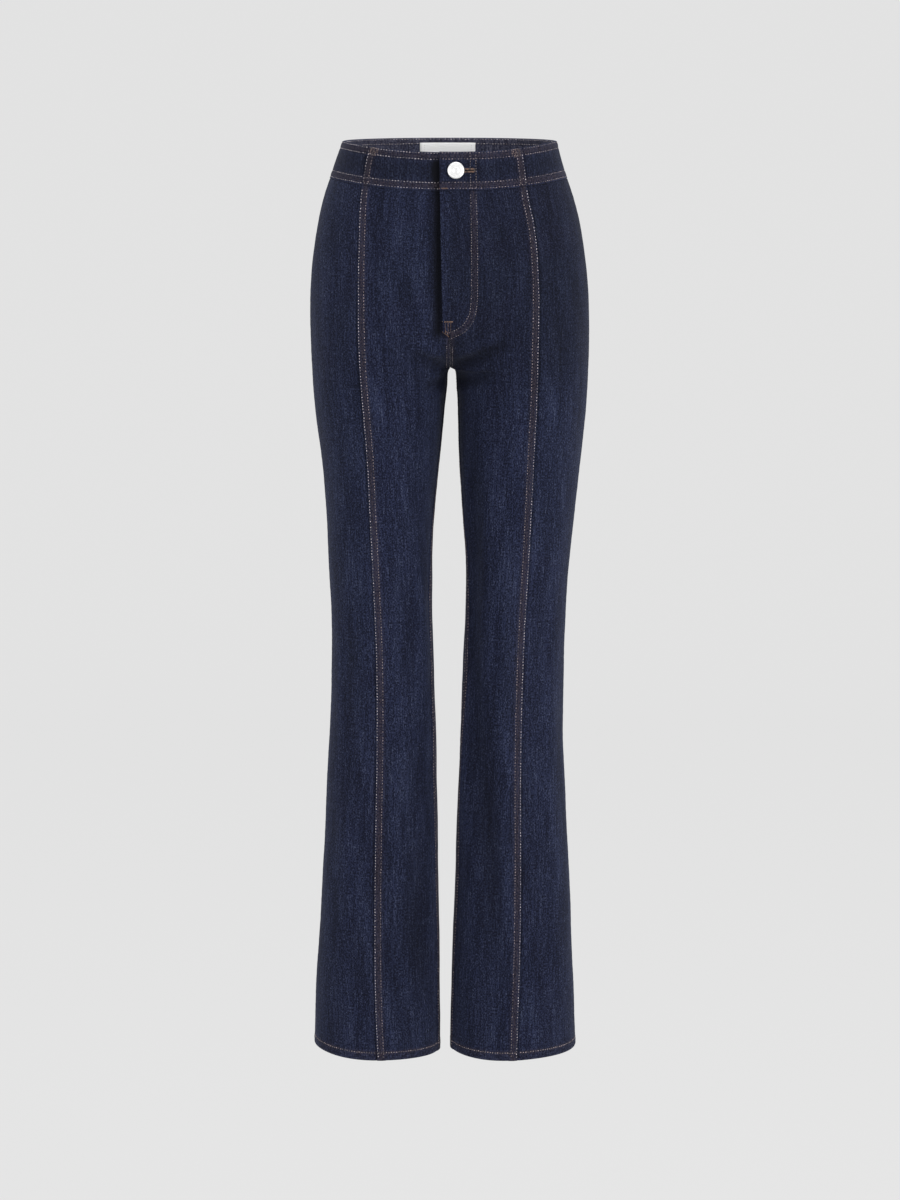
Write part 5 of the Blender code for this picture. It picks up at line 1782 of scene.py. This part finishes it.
shell("zip_tape_strip", tape_a, tape_b, tape_uv, cast(0 * tape[..., 0]), cast(0 * tape[..., 0]), [TAPE], True)
surface["zip_tape_strip"] = tape_b
mid = (tape_b[:-1, :-1] - tape_b[1:, 1:]), (tape_b[:-1, 1:] - tape_b[1:, :-1])
face_area["zip_tape_strip"] = float((np.linalg.norm(np.cross(*mid), axis=2) / 2).sum()) * 1e-6

# the chain: teeth from both sides, one above the other, and the slider with its tab
centre_line = tape_b[:, 7]
t = np.concatenate([[0], np.cumsum(np.linalg.norm(np.diff(centre_line, axis=0), axis=1))])
count = int(t[-1] / 1.35)
points, faces = [], []


def block(middle, x, y, z, size, bevel=0.25):
    """A small block with its long edges taken off."""
    w, h, d = (v / 2 for v in size)
    b = min(bevel, w * 0.6, h * 0.6)
    outline = [(-w + b, -h), (w - b, -h), (w, -h + b), (w, h - b), (w - b, h), (-w + b, h), (-w, h - b), (-w, -h + b)]
    start = len(points)
    for zz in (-d, d * 0.7):
        for a, c in outline:
            points.append(middle + x * a + y * c + z * zz)
    for a, c in outline:
        points.append(middle + x * a * 0.8 + y * c * 0.8 + z * d)
    for k in range(2):
        for q in range(8):
            p = (q + 1) % 8
            lo2, hi2 = start + k * 8, start + (k + 1) * 8
            faces.append((lo2 + q, lo2 + p, hi2 + p, hi2 + q))
    faces.append(tuple(start + q for q in range(7, -1, -1)))
    faces.append(tuple(start + 16 + q for q in range(8)))


for q in range(count):
    spot_t = (q + 0.5) * 1.35
    c = np.array([np.interp(spot_t, t, centre_line[:, a]) for a in range(3)])
    i = int(np.clip(np.searchsorted(t, spot_t), 1, len(t) - 1))
    down = centre_line[i] - centre_line[i - 1]
    down /= np.linalg.norm(down)
    n_in = -tape_n[i, 7]
    x_dir = np.cross(down, n_in)
    x_dir /= np.linalg.norm(x_dir)
    shift = 0.75 if q % 2 else -0.75
    block(c + n_in * 0.5 + x_dir * shift, x_dir, down, n_in, (3.6, 0.95, 1.1))
chain = from_lists("zip_chain", points, faces, BRASS, smooth=False)
points, faces = [], []
n_in = -tape_n[1, 7]
down = centre_line[3] - centre_line[0]
down /= np.linalg.norm(down)
x_dir = np.cross(down, n_in)
x_dir /= np.linalg.norm(x_dir)
top = centre_line[1]
block(top + down * 3.4 + n_in * 1.9, x_dir, down, n_in, (6.4, 8.2, 1.2), 1.4)
block(top + down * 3.6 + n_in * 2.8, x_dir, down, n_in, (1.8, 5.6, 0.8), 0.4)
block(top + down * 10.6 + n_in * 2.5, x_dir, down, n_in, (4.4, 12.5, 0.7), 0.9)
slider = from_lists("zip_slider", points, faces, BRASS, smooth=False)

# ---------------------------------------------------------------- studio

floor_z, wall_y, bend = -1.62, 6.4, 1.8
profile = [(-7.0, floor_z)]
for a in np.linspace(0, math.pi / 2, 24):
    profile.append((wall_y - bend + bend * math.sin(a), floor_z + bend - bend * math.cos(a)))
profile.append((wall_y, 5.0))
mesh = bpy.data.meshes.new("backdrop")
verts = [(x, y, z) for y, z in profile for x in (-8.0, 8.0)]
mesh.from_pydata(verts, [], [(2 * i, 2 * i + 1, 2 * i + 3, 2 * i + 2) for i in range(len(profile) - 1)])
mesh.polygons.foreach_set("use_smooth", np.ones(len(mesh.polygons), bool))
backdrop = bpy.data.objects.new("backdrop", mesh)
bpy.context.scene.collection.objects.link(backdrop)
mat, tree, shader = new_material("paper")
shader.inputs["Base Color"].default_value = (0.10, 0.10, 0.10, 1)
shader.inputs["Roughness"].default_value = 1.0
shader.inputs["Specular IOR Level"].default_value = 0.0
shader.inputs["Emission Color"].default_value = (1, 1, 1, 1)
shader.inputs["Emission Strength"].default_value = 0.672
mesh.materials.append(mat)

world = bpy.data.worlds.new("studio")
world.use_nodes = True
world.node_tree.nodes["Background"].inputs[0].default_value = (1, 1, 1, 1)
world.node_tree.nodes["Background"].inputs[1].default_value = 0.84
bpy.context.scene.world = world


def soft_light(name, place, target, size, power):
    data = bpy.data.lights.new(name, "AREA")
    data.shape, data.size, data.size_y, data.energy = "RECTANGLE", size[0], size[1], power
    ob = bpy.data.objects.new(name, data)
    ob.location = place
    ob.rotation_euler = (Vector(target) - Vector(place)).to_track_quat("-Z", "Y").to_euler()
    bpy.context.scene.collection.objects.link(ob)


soft_light("key", (2.2, -2.0, 0.15), (0, 0, -0.68), (1.2, 1.8), 62)
soft_light("fill", (-2.3, -2.0, 0.0), (0, 0, -0.6), (1.4, 1.8), 31)
soft_light("top", (0.2, -0.3, 1.9), (0, 0, -0.4), (1.6, 1.2), 20)

bpy.context.scene.view_settings.view_transform = "Standard"

# ---------------------------------------------------------------- what stands for what

REPLACES = {
    "front_centre_right": ["front_centre_right"], "front_centre_left": ["front_centre_left"],
    "front_side_right": ["front_side_right"], "front_side_left": ["front_side_left"],
    "back_right": ["back_right"], "back_left": ["back_left"],
    "band_centre_right": ["band_centre_right"], "band_centre_left": ["band_centre_left"],
    "band_side_right": ["band_side_right"], "band_side_left": ["band_side_left"],
    "band_back": ["band_back"], "label": ["label"], "button": ["button"],
    "zip_tape_strip": ["fly_zip"], "zip_chain": ["fly_zip"], "zip_slider": ["fly_zip"],
}
SLOTS = {
    "label": "label_cloth", "stitch_label": "label_cloth", "button": "button_metal", "zip_chain": "button_metal",
    "zip_slider": "button_metal", "zip_tape_strip": "zip_tape",
}
# the cut of each cloth piece as far as it shows, in metres: width, length, share of that rectangle
CUTS = {
    "front_centre_right": (0.122, 1.060), "front_centre_left": (0.122, 1.060),
    "front_side_right": (0.112, 1.056), "front_side_left": (0.112, 1.056),
    "back_right": (0.300, 1.060), "back_left": (0.300, 1.060),
    "band_centre_right": (0.135, 0.050), "band_centre_left": (0.105, 0.050),
    "band_side_right": (0.095, 0.050), "band_side_left": (0.105, 0.050),
    "band_back": (0.400, 0.050), "label": (0.070, 0.022), "zip_tape_strip": (0.027, 0.165),
}
for name, ob in made.items():
    ob.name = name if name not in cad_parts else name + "_cloth"
    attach(ob, "root")
    if name in REPLACES:
        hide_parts(*REPLACES[name])
    SLOTS.get(name, "denim")
    if name in CUTS:
        w, h = CUTS[name]
        area = face_area[name]
        print(f"{name}: {area:.4f} m2 of {w * h:.4f}")
        min(area, w * h)

tris = {n: sum(len(p.vertices) - 2 for p in ob.data.polygons) for n, ob in made.items()}
print("triangles", sum(tris.values()), "most", max(tris.items(), key=lambda kv: kv[1]))
